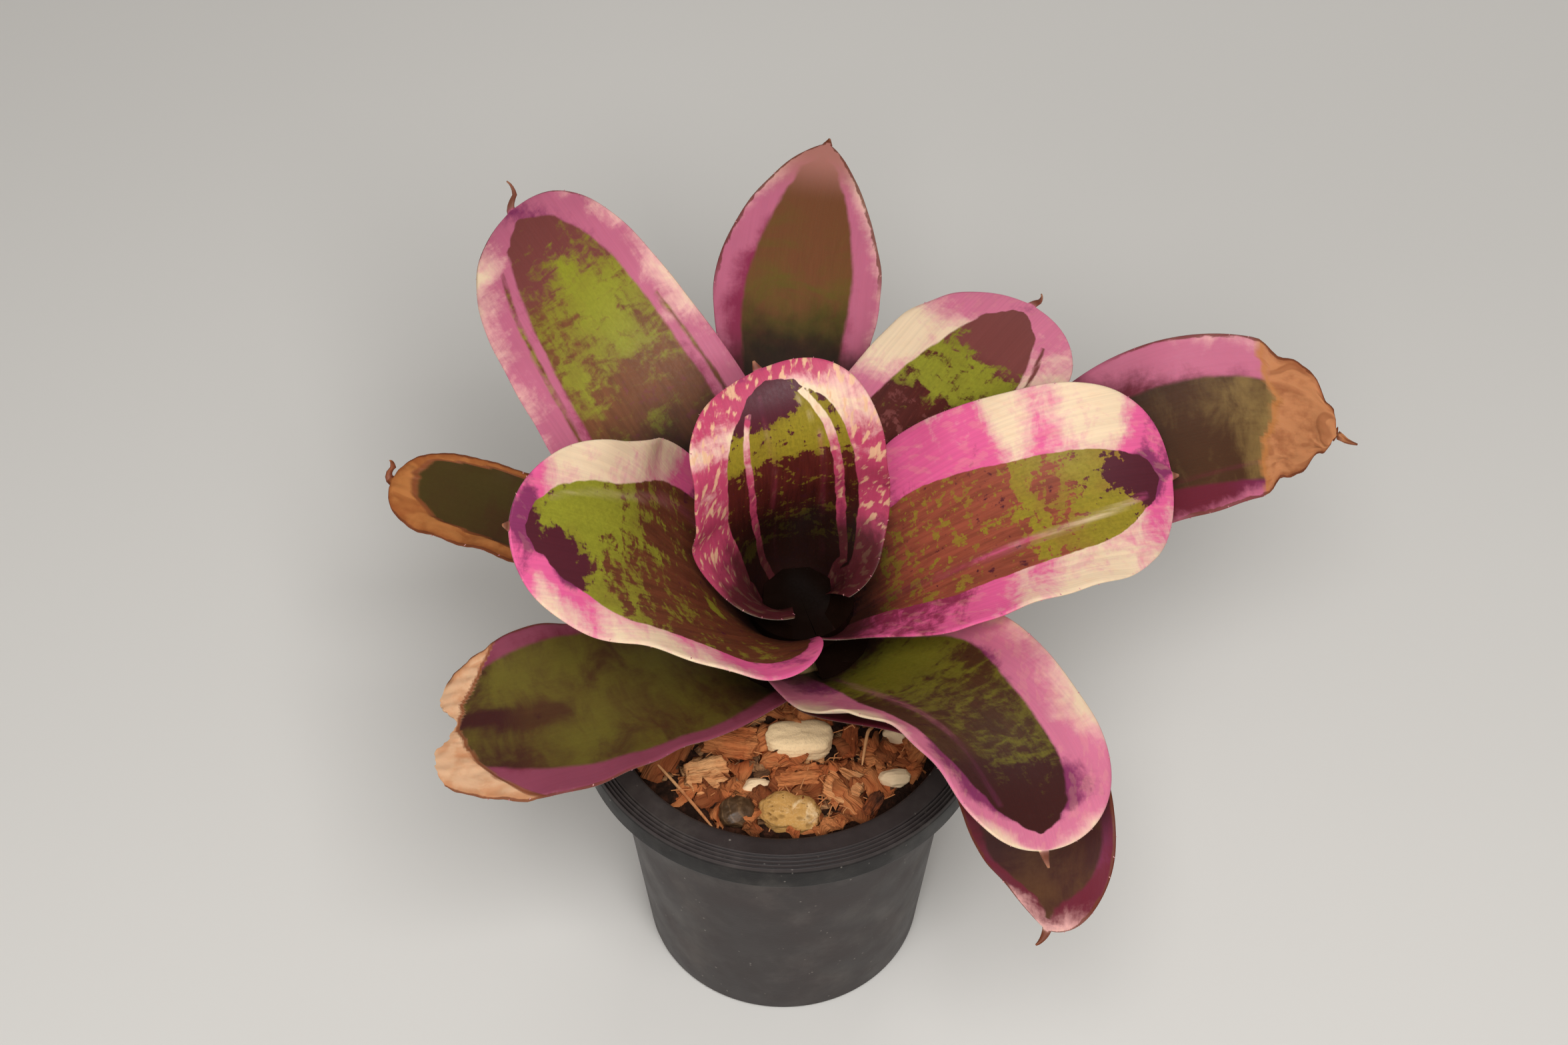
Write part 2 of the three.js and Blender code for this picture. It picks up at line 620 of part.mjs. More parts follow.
// A chip of coconut husk: a slab with worn corners, a bow along its length and a ragged outline.
function husk({ at, size, yaw, tilt, seed }, grow = 0) {
  const draw = seeded(seed);
  const slab = shaped(new THREE.BoxGeometry(1, 1, 1, 4, 2, 1), (p) => {
    const worn = 1 - HUSK.wear * Math.hypot(p.x, p.y) ** 2;
    p.x = size[0] * p.x * worn * between(HUSK.length, draw);
    p.y = size[1] * p.y * worn * between(HUSK.width, draw);
    p.z = size[2] * p.z * between(HUSK.height, draw) + HUSK.bow * p.x * p.x;
    p.addScaledVector(new THREE.Vector3(Math.sign(p.x), Math.sign(p.y), Math.sign(p.z)), grow);
  });
  return placed(slab, { at, yaw, tilt }, size[2] * HUSK.rise);
}

function fibre({ path }, grow = 0) {
  const points = path.map(([x, y, rise]) => new THREE.Vector3(x, y, mixHeight(x, y) + rise));
  const round = new THREE.Shape().absarc(0, 0, FIBRE.radius + grow, 0, Math.PI * 2, false);
  return new THREE.ExtrudeGeometry(round, {
    extrudePath: new THREE.CatmullRomCurve3(points),
    steps: FIBRE.steps,
    curveSegments: 3,
    bevelEnabled: false,
  });
}

// Small chips sown over the mix by a seeded rule and fused to it, clear of the loose pieces.
function sownChips() {
  const draw = seeded(SOWN.seed);
  const chips = [];
  const reach = POT.mouthRadius - SOWN.fromWall;
  while (chips.length < SOWN.count) {
    const angle = draw() * Math.PI * 2;
    const radius = reach * Math.sqrt(draw());
    const [length, width, height] = [SOWN.length, SOWN.width, SOWN.height].map((span) => between(span, draw));
    const at = [radius * Math.cos(angle), radius * Math.sin(angle)];
    const chip = { at, yaw: 360 * draw(), tilt: between(SOWN.tilt, draw) };
    const block = shaped(new THREE.BoxGeometry(1, 1, 1), (p) => {
      p.x *= length * between(SOWN.ragged, draw);
      p.y *= width * between(SOWN.ragged, draw);
      p.z *= height;
    });
    const fromStem = Math.hypot(at[0] - PLANT.x, at[1] - PLANT.y);
    const clear = fromStem > SOWN.fromStem && radius + length / 2 < reach;
    if (clear) chips.push(placed(block, chip, height * SOWN.rise));
  }
  return chips;
}

function pottingMix(loose) {
  let solid = solidOf(mixBody());
  for (const chip of sownChips()) solid = solid.add(solidOf(chip));
  for (const piece of loose) solid = solid.subtract(solidOf(piece));
  solid = withoutLeaves(solid.subtract(solidOf(stem(GAP))));
  return geometryOf(largest(solid));
}

// ---- the part -----------------------------------------------------------------------------------

const part = new THREE.Group();
part.name = 'neoregelia_in_pot';

function piece(name, geometry, material) {
  const mesh = new THREE.Mesh(geometry, material);
  mesh.name = name;
  part.add(mesh);
  return mesh;
}

const loose = [
  ...STONES.map((spec) => stone(spec, GAP)),
  ...HUSKS.map((spec) => husk(spec, GAP)),
  ...FIBRES.map((spec) => fibre(spec, GAP)),
];

piece('pot', pot(), FINISH.pot);
piece('potting_mix', pottingMix(loose), FINISH.mix);
for (const spec of STONES) {
  piece(spec.name, stone(spec), spec.name.startsWith('pebble') ? FINISH.pebble : FINISH.stone);
}
for (const spec of HUSKS) {
  piece(spec.name, husk(spec), spec.name === 'husk_dark' ? FINISH.huskDark : FINISH.husk);
}
for (const spec of FIBRES) piece(spec.name, fibre(spec), FINISH.husk);
piece('stem', stem(), FINISH.stem);
for (const leaf of LEAVES) piece(leaf.name, leafGeometry(leaf), FINISH.leaf);
piece('water_cup', cupWater(), FINISH.water);
for (const spec of AXIL_WATERS) piece(spec.name, axilWater(spec), FINISH.water);

export default part;
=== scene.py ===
"""A neoregelia bromeliad in its nursery pot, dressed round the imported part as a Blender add-on.

The frame gives every piece its place. Tables and leaf sums are in millimetres and degrees, as a grower
would measure them, and meshes are made in metres.
"""

import json
import math

import bmesh
import bpy
import numpy as np
from mathutils import Matrix, Vector

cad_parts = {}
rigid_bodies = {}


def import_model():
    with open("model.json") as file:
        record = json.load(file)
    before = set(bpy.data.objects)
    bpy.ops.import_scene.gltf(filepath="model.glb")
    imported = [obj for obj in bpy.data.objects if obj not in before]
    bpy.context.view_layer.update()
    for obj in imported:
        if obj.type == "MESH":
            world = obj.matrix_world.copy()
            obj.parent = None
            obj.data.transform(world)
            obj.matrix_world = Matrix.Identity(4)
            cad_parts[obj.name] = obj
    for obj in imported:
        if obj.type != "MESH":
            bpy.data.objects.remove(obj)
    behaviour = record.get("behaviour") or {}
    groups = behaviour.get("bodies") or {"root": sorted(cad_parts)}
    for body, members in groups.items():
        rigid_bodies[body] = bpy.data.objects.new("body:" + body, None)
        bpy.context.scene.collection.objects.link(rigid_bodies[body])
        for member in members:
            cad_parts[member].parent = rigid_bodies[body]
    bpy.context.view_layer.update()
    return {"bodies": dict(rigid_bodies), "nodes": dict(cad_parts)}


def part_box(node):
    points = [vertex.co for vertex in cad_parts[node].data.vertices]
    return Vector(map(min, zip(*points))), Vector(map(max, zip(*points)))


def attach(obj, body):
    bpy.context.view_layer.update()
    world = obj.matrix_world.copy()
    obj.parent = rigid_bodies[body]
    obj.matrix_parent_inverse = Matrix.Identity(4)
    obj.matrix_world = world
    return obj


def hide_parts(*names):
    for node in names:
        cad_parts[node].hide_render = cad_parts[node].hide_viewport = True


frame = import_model()
BODY = next(iter(frame["bodies"]))
MM = 0.001

bl_info = {
    "name": "Potted Bromeliad",
    "version": (1, 0, 0),
    "blender": (4, 5, 0),
    "location": "View3D > Sidebar > Bromeliad",
    "description": "Builds a neoregelia bromeliad, its pot, potting mix and stones",
    "category": "Add Mesh",
}


# ---- sizes that come from the frame ----

POT_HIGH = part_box("pot")[1]
RIM_HEIGHT = POT_HIGH.z / MM
RIM_RADIUS = POT_HIGH.x / MM


# ---- properties ----


def linear(code):
    """Scene-linear colour of a 0xRRGGBB display colour."""
    parts = [((code >> shift) & 255) / 255 for shift in (16, 8, 0)]
    return tuple(c / 12.92 if c <= 0.04045 else ((c + 0.055) / 1.055) ** 2.4 for c in parts)


def number(label, default, description, **more):
    """A plain number."""
    return bpy.props.FloatProperty(name=label, default=default, description=description, **more)


def whole(label, default, description, least=0):
    """A whole number."""
    return bpy.props.IntProperty(name=label, default=default, min=least, description=description)


def length(label, default, description):
    """A length in millimetres."""
    return number(label, default, description + ", mm", min=0)


def colour(label, code, description):
    """A surface colour."""
    return bpy.props.FloatVectorProperty(
        name=label, default=linear(code), min=0, max=1, size=3, subtype="COLOR", description=description
    )


class BromeliadPot(bpy.types.PropertyGroup):
    """Sizes of the pot that the frame's box doesn't give."""

    mouth: length("Mouth radius", 41.6, "Inner radius at the rim")
    band: length("Band radius", 46.4, "Outer radius of the smooth band inside the ribs")
    foot: length("Foot radius", 35, "Outer radius of the foot")
    wall: length("Wall", 1.4, "Wall thickness")
    base: length("Base", 2, "Thickness of the base")
    collar: length("Collar", 9, "Depth of the collar under the rim")
    drop: length("Drop", 2.9, "How far the ribbed slope falls to the lip")
    rib_height: length("Rib height", 0.6, "Height of one rib")
    ribs: whole("Ribs", 5, "Ribs on the rim", 1)
    drains: whole("Drain holes", 6, "Holes in the base", 1)
    drain_radius: length("Drain radius", 3.5, "Radius of a drain hole")
    drain_circle: length("Drain circle", 24, "Radius of the circle the holes stand on")
    segments: whole("Segments", 180, "Steps round the pot", 24)
    # Painted shade: how dark the grooves between the ribs are painted.
    groove_shade: number("Groove", 0.9, "Dirt between the ribs", max=1)
    plastic: colour("Plastic", 0x342D2C, "Moulded plastic")
    dust: colour("Dust", 0xA39A90, "Dust on the plastic")


class BromeliadMix(bpy.types.PropertyGroup):
    """Potting mix, and the crumbs and fibres strewn over it."""

    below: length("Below rim", 7, "Depth of the mix under the rim")
    mound: length("Mound", 4.6, "Rise of the mix round the stem")
    mound_radius: length("Mound radius", 20, "Reach of that rise")
    bump: length("Bump", 0.5, "Height of the lumps")
    bare: length("Bare edge", 6.6, "Ring inside the mouth that nothing is strewn on")
    crumbs: whole("Crumbs", 260, "Small crumbs of husk")
    chips: whole("Chips", 130, "Middling chips of husk")
    fibres: whole("Fibres", 150, "Fine loose fibres")
    seed: whole("Seed", 11, "Seed of the strewing")
    # Darkened further as painted shade of the gaps between the chips.
    humus_and_shade: colour("Humus", 0x24140B, "Dark mix between the chips")
    husk: colour("Husk", 0xC97E4A, "Coconut husk")
    husk_pale: colour("Pale husk", 0xE2A872, "Worn faces of husk")
    husk_red: colour("Red husk", 0xA4542B, "Damp red-brown husk")
    bark: colour("Bark", 0x4A2A1B, "Dark bark")


class BromeliadStones(bpy.types.PropertyGroup):
    """Colours of the stones."""

    cream: colour("Cream", 0xFFDFAE, "Cream stone")
    grey: colour("Grey", 0xA88A66, "Grey-brown stain on the cream stone")
    pumice: colour("Pumice", 0xCC9A54, "Yellow pitted stone")
    pits: colour("Pits", 0x8A6630, "Pits in the yellow stone")
    white: colour("White", 0xF6D8AE, "Small white stones")
    slate: colour("Slate", 0x46321F, "Dark pebble")
    stripe: colour("Stripe", 0x705438, "Pale lines on the dark pebble")


class BromeliadPlant(bpy.types.PropertyGroup):
    """Sizes that all leaves share, and the stem."""

    x: number("Axis X", 4, "Plant's axis from the pot's, mm")
    y: number("Axis Y", 10, "Plant's axis from the pot's, mm")
    foot_height: length("Foot height", 18, "Height of the youngest leaf's foot over the rim")
    ring_step: length("Ring step", 2.1, "Drop from one leaf's foot to the next")
    top_radius: length("Top radius", 5.5, "Stem radius at the youngest leaf")
    spread: length("Spread", 5, "How much the stem widens downward")
    spread_rings: number("Rings", 2.5, "Leaves it takes to widen")
    buried: length("Buried", 18, "Depth of the stem under the rim")
    buried_radius: length("Buried radius", 6.4, "Radius of the buried stem")
    thickness: length("Thickness", 1.05, "Leaf thickness at the midrib")
    edge: length("Edge", 0.62, "Leaf thickness at the margin")
    point_half: length("Point", 1.1, "Half width where the small point starts")
    ripple: length("Ripple", 0.35, "Height of the waves in a margin")
    spine: length("Spine", 0.6, "Length of a marginal spine")
    spine_pitch: length("Spine pitch", 4.6, "Distance between spines")
    rows: whole("Rows", 120, "Steps from foot to shoulder", 8)
    tip_rows: whole("Tip rows", 56, "Steps over the tip", 4)
    columns: whole("Columns", 46, "Steps across a leaf", 4)


class BromeliadColours(bpy.types.PropertyGroup):
    """Colours of the plant."""

    cream: colour("Cream", 0xF6D9B6, "Margin without red pigment")
    fleck: colour("Fleck", 0xF0BE96, "Small pale flecks in a margin")
    blush: colour("Blush", 0xEDB2AC, "Margin with a trace of pigment")
    orchid: colour("Orchid", 0xEA6298, "Bright margin full of pigment")
    pink: colour("Pink", 0xDA7896, "Margin full of pigment")
    dusty_pink: colour("Dusty pink", 0xC86C88, "Margin of an old leaf")
    # Darkened to stand for painted shade on the low margin of the front left leaf.
    shaded_damson: colour("Damson", 0x8C4256, "Dark margin of an old leaf")
    rose: colour("Rose", 0xC64A6C, "Margin of the young leaf")
    crimson: colour("Crimson", 0x922F50, "Dense pigment in a margin")
    violet: colour("Violet", 0x8A3460, "Densest pigment in a margin")
    # Darkened partly as painted shade of the lowest leaf.
    shaded_garnet: colour("Garnet", 0x6C2030, "Margin of the lowest leaf")
    lime: colour("Lime", 0x9E8C28, "Green centre of a young leaf")
    leaf_green: colour("Leaf green", 0x99972C, "Green centre of a grown leaf")
    moss: colour("Moss", 0x7C7421, "Green centre of a leaf past its best")
    olive: colour("Olive", 0x685C20, "Green centre of an old leaf")
    khaki: colour("Khaki", 0x8C6F3F, "Faded green near a dry end")
    # Darkened partly as painted shade of the far left leaf, which lies low.
    shaded_drab: colour("Drab", 0x4C3D18, "Dull green of the oldest leaves")
    # Darkened partly as painted shade of the lowest leaf.
    shaded_bronze: colour("Bronze", 0x5E3C22, "Brown centre of the lowest leaf")
    umber: colour("Umber", 0x683822, "Pigment over an old centre")
    cinnamon: colour("Cinnamon", 0x78492C, "Thin pigment over an old centre")
    # Darkened partly as painted shade, for centres that darken toward the foot.
    shaded_sepia: colour("Sepia", 0x4C2E1A, "Dark pigment over an old centre")
    russet: colour("Russet", 0x914834, "Pigment over a bright centre")
    wine: colour("Wine", 0x55201A, "Pigment over a green centre")
    claret: colour("Claret", 0x401C19, "Dense pigment over an old centre")
    plum: colour("Plum", 0x541F2A, "Dense pigment near the tip")
    dusk: colour("Dusk", 0x7E423E, "Thin pigment near the tip")
    tan: colour("Tan", 0xDDB08A, "Dry tissue")
    fawn: colour("Fawn", 0xC58356, "Dry tissue gone brown")
    rust: colour("Rust", 0x8E4E2C, "Older dry tissue")
    ginger: colour("Ginger", 0x9A5428, "Dry rim of the oldest leaf")
    amber: colour("Amber", 0xBE7A42, "Line where tissue has dried")
    faded: colour("Faded", 0xB8786C, "Faded tip")
    bark: colour("Bark", 0x6A341E, "Edge of dry tissue")
    scurf: colour("Scurf", 0xCFC6BE, "Scales on the underside")
    # Near-black stain toward the leaves' feet: partly a water stain, partly painted shade deep in the
    # rosette; also the murk in the water.
    stain_and_shade: colour("Stain", 0x160C08, "Stain where water stands")
    stem: colour("Stem", 0x8A7C4E, "Stem")
    # Near-black: murky water, darkened further as painted shade of the deep cup.
    water: colour("Water", 0x120905, "Standing water")


class BromeliadStage(bpy.types.PropertyGroup):
    """Camera, light and floor."""

    elevation: number("Elevation", math.radians(50), "Camera's height angle", subtype="ANGLE")
    distance: number("Distance", 0.75, "Camera to the point it looks at", unit="LENGTH")
    lens: number("Lens", 71.1, "Focal length, 36 mm sensor, mm")
    aim_right: length("Aim right", 0.14, "Aim point right of the pot's axis")
    aim_up: length("Aim up", 41.5, "Aim point above the rim's middle, across the view")
    floor: colour("Floor", 0xE9E6E1, "Floor")
    sky: colour("Sky", 0xF0ECE6, "Light from all round")
    sky_strength: number("Sky strength", 0.22, "Light all round")
    key: number("Key", 6.4, "Overhead softbox", unit="POWER")
    fill: number("Fill", 1.7, "Front softbox", unit="POWER")
    back: number("Back", 1.0, "Rear softbox", unit="POWER")


# ---- small helpers ----


def settings(family):
    """One family of settings, such as the plant's."""
    return getattr(bpy.context.scene, "bromeliad_" + family)


def smooth(low, high, x):
    """0 below low, 1 above high, and a smooth step between."""
    t = np.clip((x - low) / (high - low), 0, 1)
    return t * t * (3 - 2 * t)


def shares(points):
    """Points given in per cent, as a row of shares for each of their numbers."""
    return np.array(points).T / 100


def curve(places, values, x):
    """A smooth curve through values at places."""
    slopes = np.gradient(values, places)
    i = np.clip(np.searchsorted(places, x, side="right") - 1, 0, len(places) - 2)
    span = places[i + 1] - places[i]
    t = np.clip((x - places[i]) / span, 0, 1)
    start = (1 + 2 * t) * (1 - t) ** 2 * values[i] + t * (1 - t) ** 2 * span * slopes[i]
    end = t * t * (3 - 2 * t) * values[i + 1] + t * t * (t - 1) * span * slopes[i + 1]
    return start + end


def unit(vectors):
    """Vectors brought to a length of one."""
    return vectors / np.maximum(np.linalg.norm(vectors, axis=-1, keepdims=True), 1e-9)


def darker(tint, share):
    """A colour times a share."""
    return tuple(c * share for c in tint)


def seeded(seed):
    """A repeatable stream of numbers from 0 to 1, the same as the solids are drawn with."""
    state = seed
    while True:
        state = (state * 1664525 + 1013904223) % 4294967296
        yield state / 4294967296


def swell(x, y, wave, seed, layers=4):
    """Soft noise from -1 to 1: a few sine waves in seeded directions, wave millimetres long."""
    draw = seeded(seed)
    total = np.zeros_like(np.asarray(x, float))
    for k in range(layers):
        angle = next(draw) * math.tau
        turn = next(draw) * math.tau
        size = wave * (0.7 + 0.6 * next(draw)) / (1 + 0.7 * k)
        across = x * math.cos(angle) + y * math.sin(angle)
        total = total + np.sin(across * math.tau / size + turn) / (1 + k)
    return total / 2


def new_object(name, data):
    """An object in the scene, at the origin."""
    thing = bpy.data.objects.new(name, data)
    bpy.context.scene.collection.objects.link(thing)
    return thing


def mesh_of(name, places, faces):
    """A mesh from places in millimetres."""
    mesh = bpy.data.meshes.new(name)
    mesh.from_pydata((np.asarray(places, float) * MM).tolist(), [], faces)
    mesh.update()
    mesh.shade_smooth()
    return mesh


def mesh_from(bm, name):
    """A mesh from a bmesh, which is then freed."""
    mesh = bpy.data.meshes.new(name)
    bm.to_mesh(mesh)
    bm.free()
    return mesh


def tube_faces(rows, around):
    """The numbers of a tube's vertices, ring after ring, and the faces between its rings."""
    index = np.arange(rows * around).reshape(rows, around)
    beside = np.roll(index, -1, 1)
    faces = np.stack([index[:-1], beside[:-1], beside[1:], index[1:]], -1)
    return index, faces.reshape(-1, 4).tolist()


def point_values(mesh, name, values):
    """Writes one number or vector a vertex as a named attribute."""
    values = np.asarray(values, np.float32)
    kind, field = ("FLOAT", "value") if values.ndim == 1 else ("FLOAT_VECTOR", "vector")
    mesh.attributes.new(name, kind, "POINT").data.foreach_set(field, values.ravel())


def plain_mesh(thing, name):
    """The evaluated mesh of an object, with its modifiers applied, as a new object; the old one goes."""
    graph = bpy.context.evaluated_depsgraph_get()
    mesh = bpy.data.meshes.new_from_object(thing.evaluated_get(graph))
    mesh.name = name
    bpy.data.objects.remove(thing)
    return new_object(name, mesh)


def finish_piece(thing, slot, material, *nodes):
    """Puts a piece on the body, gives it its material, and lets it stand for CAD nodes; its slot is not
    used.
    """
    if material:
        thing.data.materials.clear()
        thing.data.materials.append(material)
    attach(thing, BODY)
    if nodes:
        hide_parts(*nodes)


def stand_in(node, mesh, slot, material):
    """Puts a finer mesh in the place of one CAD node."""
    finish_piece(new_object(node + "_fine", mesh), slot, material, node)


def copy_of_node(node):
    """The mesh of a CAD node as a bmesh with its doubles merged."""
    bm = bmesh.new()
    bm.from_mesh(frame["nodes"][node].data)
    bmesh.ops.remove_doubles(bm, verts=bm.verts, dist=1e-6)
    return bm


# ---- nodes ----


class Wiring:
    """Adds nodes to a tree and joins them."""

    def __init__(self, tree):
        self.tree = tree

    def fill(self, node, inputs):
        """Sets a node's inputs by name or number: a socket is linked, and a value is set."""
        for key, value in inputs.items():
            if isinstance(value, bpy.types.NodeSocket):
                self.tree.links.new(value, node.inputs[key])
            elif hasattr(value, "__len__") and not isinstance(value, str) and len(value) == 3:
                size = len(node.inputs[key].default_value)
                node.inputs[key].default_value = (*value, 1)[:size]
            else:
                node.inputs[key].default_value = value
        return node

    def add(self, kind, inputs=None, **choices):
        """A new node of this kind."""
        node = self.tree.nodes.new(kind)
        for name, value in choices.items():
            setattr(node, name, value)
        return self.fill(node, inputs or {})

    def result(self, kind, inputs=None, **choices):
        """What a new node of this kind gives at its first output."""
        return self.add(kind, inputs, **choices).outputs[0]

    def group(self, name, **inputs):
        """What a shared node group gives; it is built when it is first asked for."""
        tree = bpy.data.node_groups.get(name) or GROUPS[name]()
        return self.add("ShaderNodeGroup", inputs, node_tree=tree).outputs

    def math(self, operation, a, b=0.0, c=0.0):
        """One sum."""
        return self.result("ShaderNodeMath", {0: a, 1: b, 2: c}, operation=operation)

    def times(self, a, b, plus=None):
        """One number times another, plus a third if there is one."""
        if plus is None:
            return self.math("MULTIPLY", a, b)
        return self.math("MULTIPLY_ADD", a, b, plus)

    def rest(self, a):
        """What is left of one."""
        return self.math("SUBTRACT", 1.0, a)

    def varied(self, value, noise, amount):
        """A value with noise of this amount added."""
        return self.times(self.math("SUBTRACT", noise, 0.5), amount, value)

    def vector(self, operation, a, b=(0, 0, 0)):
        """One vector sum."""
        return self.result("ShaderNodeVectorMath", {0: a, 1: b}, operation=operation)

    def step(self, low, high, value, to=(0.0, 1.0)):
        """A smooth step of a value, between the two numbers of to."""
        inputs = {"Value": value, "From Min": low, "From Max": high, "To Min": to[0], "To Max": to[1]}
        return self.result("ShaderNodeMapRange", inputs, interpolation_type="SMOOTHSTEP")

    def mix(self, share, a, b, how="MIX"):
        """A colour between a and b."""
        inputs = {0: share, 6: a, 7: b}
        return self.add("ShaderNodeMix", inputs, data_type="RGBA", blend_type=how).outputs[2]

    def noise(self, where, scale, detail=3.0, rough=0.55, bend=0.0):
        """Noise about 0.5."""
        inputs = {"Vector": where, "Scale": scale, "Detail": detail, "Roughness": rough, "Distortion": bend}
        return self.result("ShaderNodeTexNoise", inputs)

    def cells(self, where, scale):
        """Distance to the nearest of scattered points."""
        return self.result("ShaderNodeTexVoronoi", {"Vector": where, "Scale": scale})

    def scale(self, vector, size):
        """A vector times a number."""
        return self.result("ShaderNodeVectorMath", {0: vector, 3: size}, operation="SCALE")

    def xyz(self, x=0.0, y=0.0, z=0.0):
        """A vector from three numbers."""
        return self.result("ShaderNodeCombineXYZ", {0: x, 1: y, 2: z})

    def object_place(self):
        """Object coordinates."""
        return self.add("ShaderNodeTexCoord").outputs["Object"]

    def attribute(self, name, output="Fac"):
        """A named attribute of the surface."""
        return self.add("ShaderNodeAttribute", attribute_name=name).outputs[output]

    def scaled(self, where, x, y, z, shift=0.0):
        """Coordinates times a size for each axis."""
        inputs = {"Vector": where, "Scale": (x, y, z), "Location": (0, 0, shift)}
        return self.result("ShaderNodeMapping", inputs)


SOCKETS = {
    "geometry": "NodeSocketGeometry",
    "value": "NodeSocketFloat",
    "length": "NodeSocketFloat",
    "whole": "NodeSocketInt",
    "vector": "NodeSocketVector",
    "material": "NodeSocketMaterial",
}


def new_tree(name, kind, inputs, outputs):
    """A node tree with named sockets: its wiring, its inputs and its output node.

    A socket is given as its kind, or as the number that a value starts from.
    """
    tree = bpy.data.node_groups.new(name, kind)
    for way, sockets in (("INPUT", inputs), ("OUTPUT", outputs)):
        for label, given in sockets.items():
            sort = given if isinstance(given, str) else "value"
            socket = tree.interface.new_socket(label, in_out=way, socket_type=SOCKETS[sort])
            if sort == "length":
                socket.subtype = "DISTANCE"
            if sort != given:
                socket.default_value = given
    wires = Wiring(tree)
    return wires, wires.add("NodeGroupInput").outputs, wires.add("NodeGroupOutput")


def shader_group(name, outputs, **inputs):
    """A shader node group that reads a place on the surface and gives values."""
    return new_tree(name, "ShaderNodeTree", {"Place": "vector", **inputs}, dict.fromkeys(outputs, "value"))


def mottle_group():
    """A level roughened by broad blotches, fine specks and drips, and where it passes a half."""
    amounts = {"Blotch": 1.6, "Speck": 1.2, "Drip": 0.6}
    wires, given, out = shader_group(
        "Mottle", ("Value", "Mask"), Level=0.5, **amounts, Size=3.0, Edge=0.07, Seed=0.0
    )
    where = wires.vector("ADD", given["Place"], wires.xyz(z=given["Seed"]))
    small = wires.scale(where, wires.math("DIVIDE", 1.0, given["Size"]))
    value = given["Level"]
    layers = [
        ("Blotch", wires.noise(wires.scaled(small, 0.75, 1.1, 1), 1.0, 4.0, 0.65, 0.5)),
        ("Speck", wires.noise(wires.scaled(where, 0.66, 0.5, 1), 1.0, 3.0, 0.62)),
        ("Drip", wires.noise(wires.scaled(where, 1.5, 0.16, 1), 1.0, 2.0)),
    ]
    for name, layer in layers:
        value = wires.varied(value, layer, given[name])
    low = wires.math("SUBTRACT", 0.5, given["Edge"])
    high = wires.math("ADD", 0.5, given["Edge"])
    wires.fill(out, {"Value": value, "Mask": wires.step(low, high, value)})
    return wires.tree


def veins_group():
    """Fine parallel veins along a leaf."""
    wires, given, out = shader_group("Veins", ("Line",), Pitch=0.9)
    parts = wires.add("ShaderNodeSeparateXYZ", {0: given["Place"]}).outputs
    where = wires.xyz(wires.math("DIVIDE", parts[0], given["Pitch"]), wires.times(parts[1], 0.02))
    wires.fill(out, {"Line": wires.noise(where, 1.0, 3.0, 0.6)})
    return wires.tree


def scurf_group():
    """Minute pale scales, thicker in bands across the leaf."""
    wires, given, out = shader_group("Scurf", ("Mask",), Amount=0.5)
    banded = wires.noise(wires.scaled(given["Place"], 0.05, 0.28, 1), 1.0, 4.0, 0.6)
    dots = wires.step(0.42, 0.12, wires.cells(given["Place"], 2.2))
    mask = wires.times(wires.times(dots, 0.6, 0.25), wires.step(0.35, 0.75, banded))
    wires.fill(out, {"Mask": wires.times(mask, given["Amount"])})
    return wires.tree


def dust_group():
    """Scattered specks and a thin haze of dust."""
    wires, given, out = shader_group("Dust", ("Mask",), Amount=0.5, Size=1.0)
    where = wires.scale(given["Place"], given["Size"])
    specks = wires.step(0.16, 0.06, wires.cells(where, 420))
    kept = wires.step(0.52, 0.62, wires.noise(where, 300, 2.0))
    haze = wires.step(0.45, 0.8, wires.noise(where, 60, 5.0, 0.65))
    total = wires.math("MAXIMUM", wires.times(specks, kept), wires.times(haze, 0.25))
    wires.fill(out, {"Mask": wires.times(total, given["Amount"])})
    return wires.tree


def grain_group():
    """Fibres running along X: streaks of colour and a relief."""
    wires, given, out = shader_group("Fibre grain", ("Streak", "Relief"), Seed=0.0)
    where = wires.vector("ADD", given["Place"], wires.xyz(given["Seed"], given["Seed"]))
    warp = wires.noise(where, 160, 2.0)
    streak = wires.noise(wires.scaled(where, 90, 1300, 1300), 1.0, 3.0, 0.75, 0.6)
    coarse = wires.noise(wires.scaled(where, 50, 420, 420), 1.0, 3.0, 0.6, 0.8)
    relief = wires.times(streak, 0.55, wires.times(coarse, 0.45))
    tone = wires.times(warp, 0.35, wires.times(relief, 0.8))
    wires.fill(out, {"Streak": tone, "Relief": relief})
    return wires.tree


GROUPS = {
    "Mottle": mottle_group,
    "Veins": veins_group,
    "Scurf": scurf_group,
    "Dust": dust_group,
    "Fibre grain": grain_group,
}


class Finish(Wiring):
    """The wiring of a material with one Principled shader, some of whose sockets have plain values."""

    def __init__(self, name, **plain):
        self.material = bpy.data.materials.new(name)
        self.material.use_nodes = True
        super().__init__(self.material.node_tree)
        self.tree.nodes.clear()
        plain = {key.replace("_", " "): value for key, value in plain.items()}
        self.shader = self.add("ShaderNodeBsdfPrincipled", plain)
        self.add("ShaderNodeOutputMaterial", {0: self.shader.outputs[0]})

    def done(self, skin, rough=None, relief=None, depth=0.0, strength=1.0):
        """The material, with its colour, its roughness and a relief of this depth in metres."""
        looks = {"Base Color": skin}
        if rough is not None:
            looks["Roughness"] = rough
        if relief is not None:
            inputs = {"Height": relief, "Distance": depth, "Strength": strength}
            looks["Normal"] = self.result("ShaderNodeBump", inputs)
        self.fill(self.shader, looks)
        return self.material
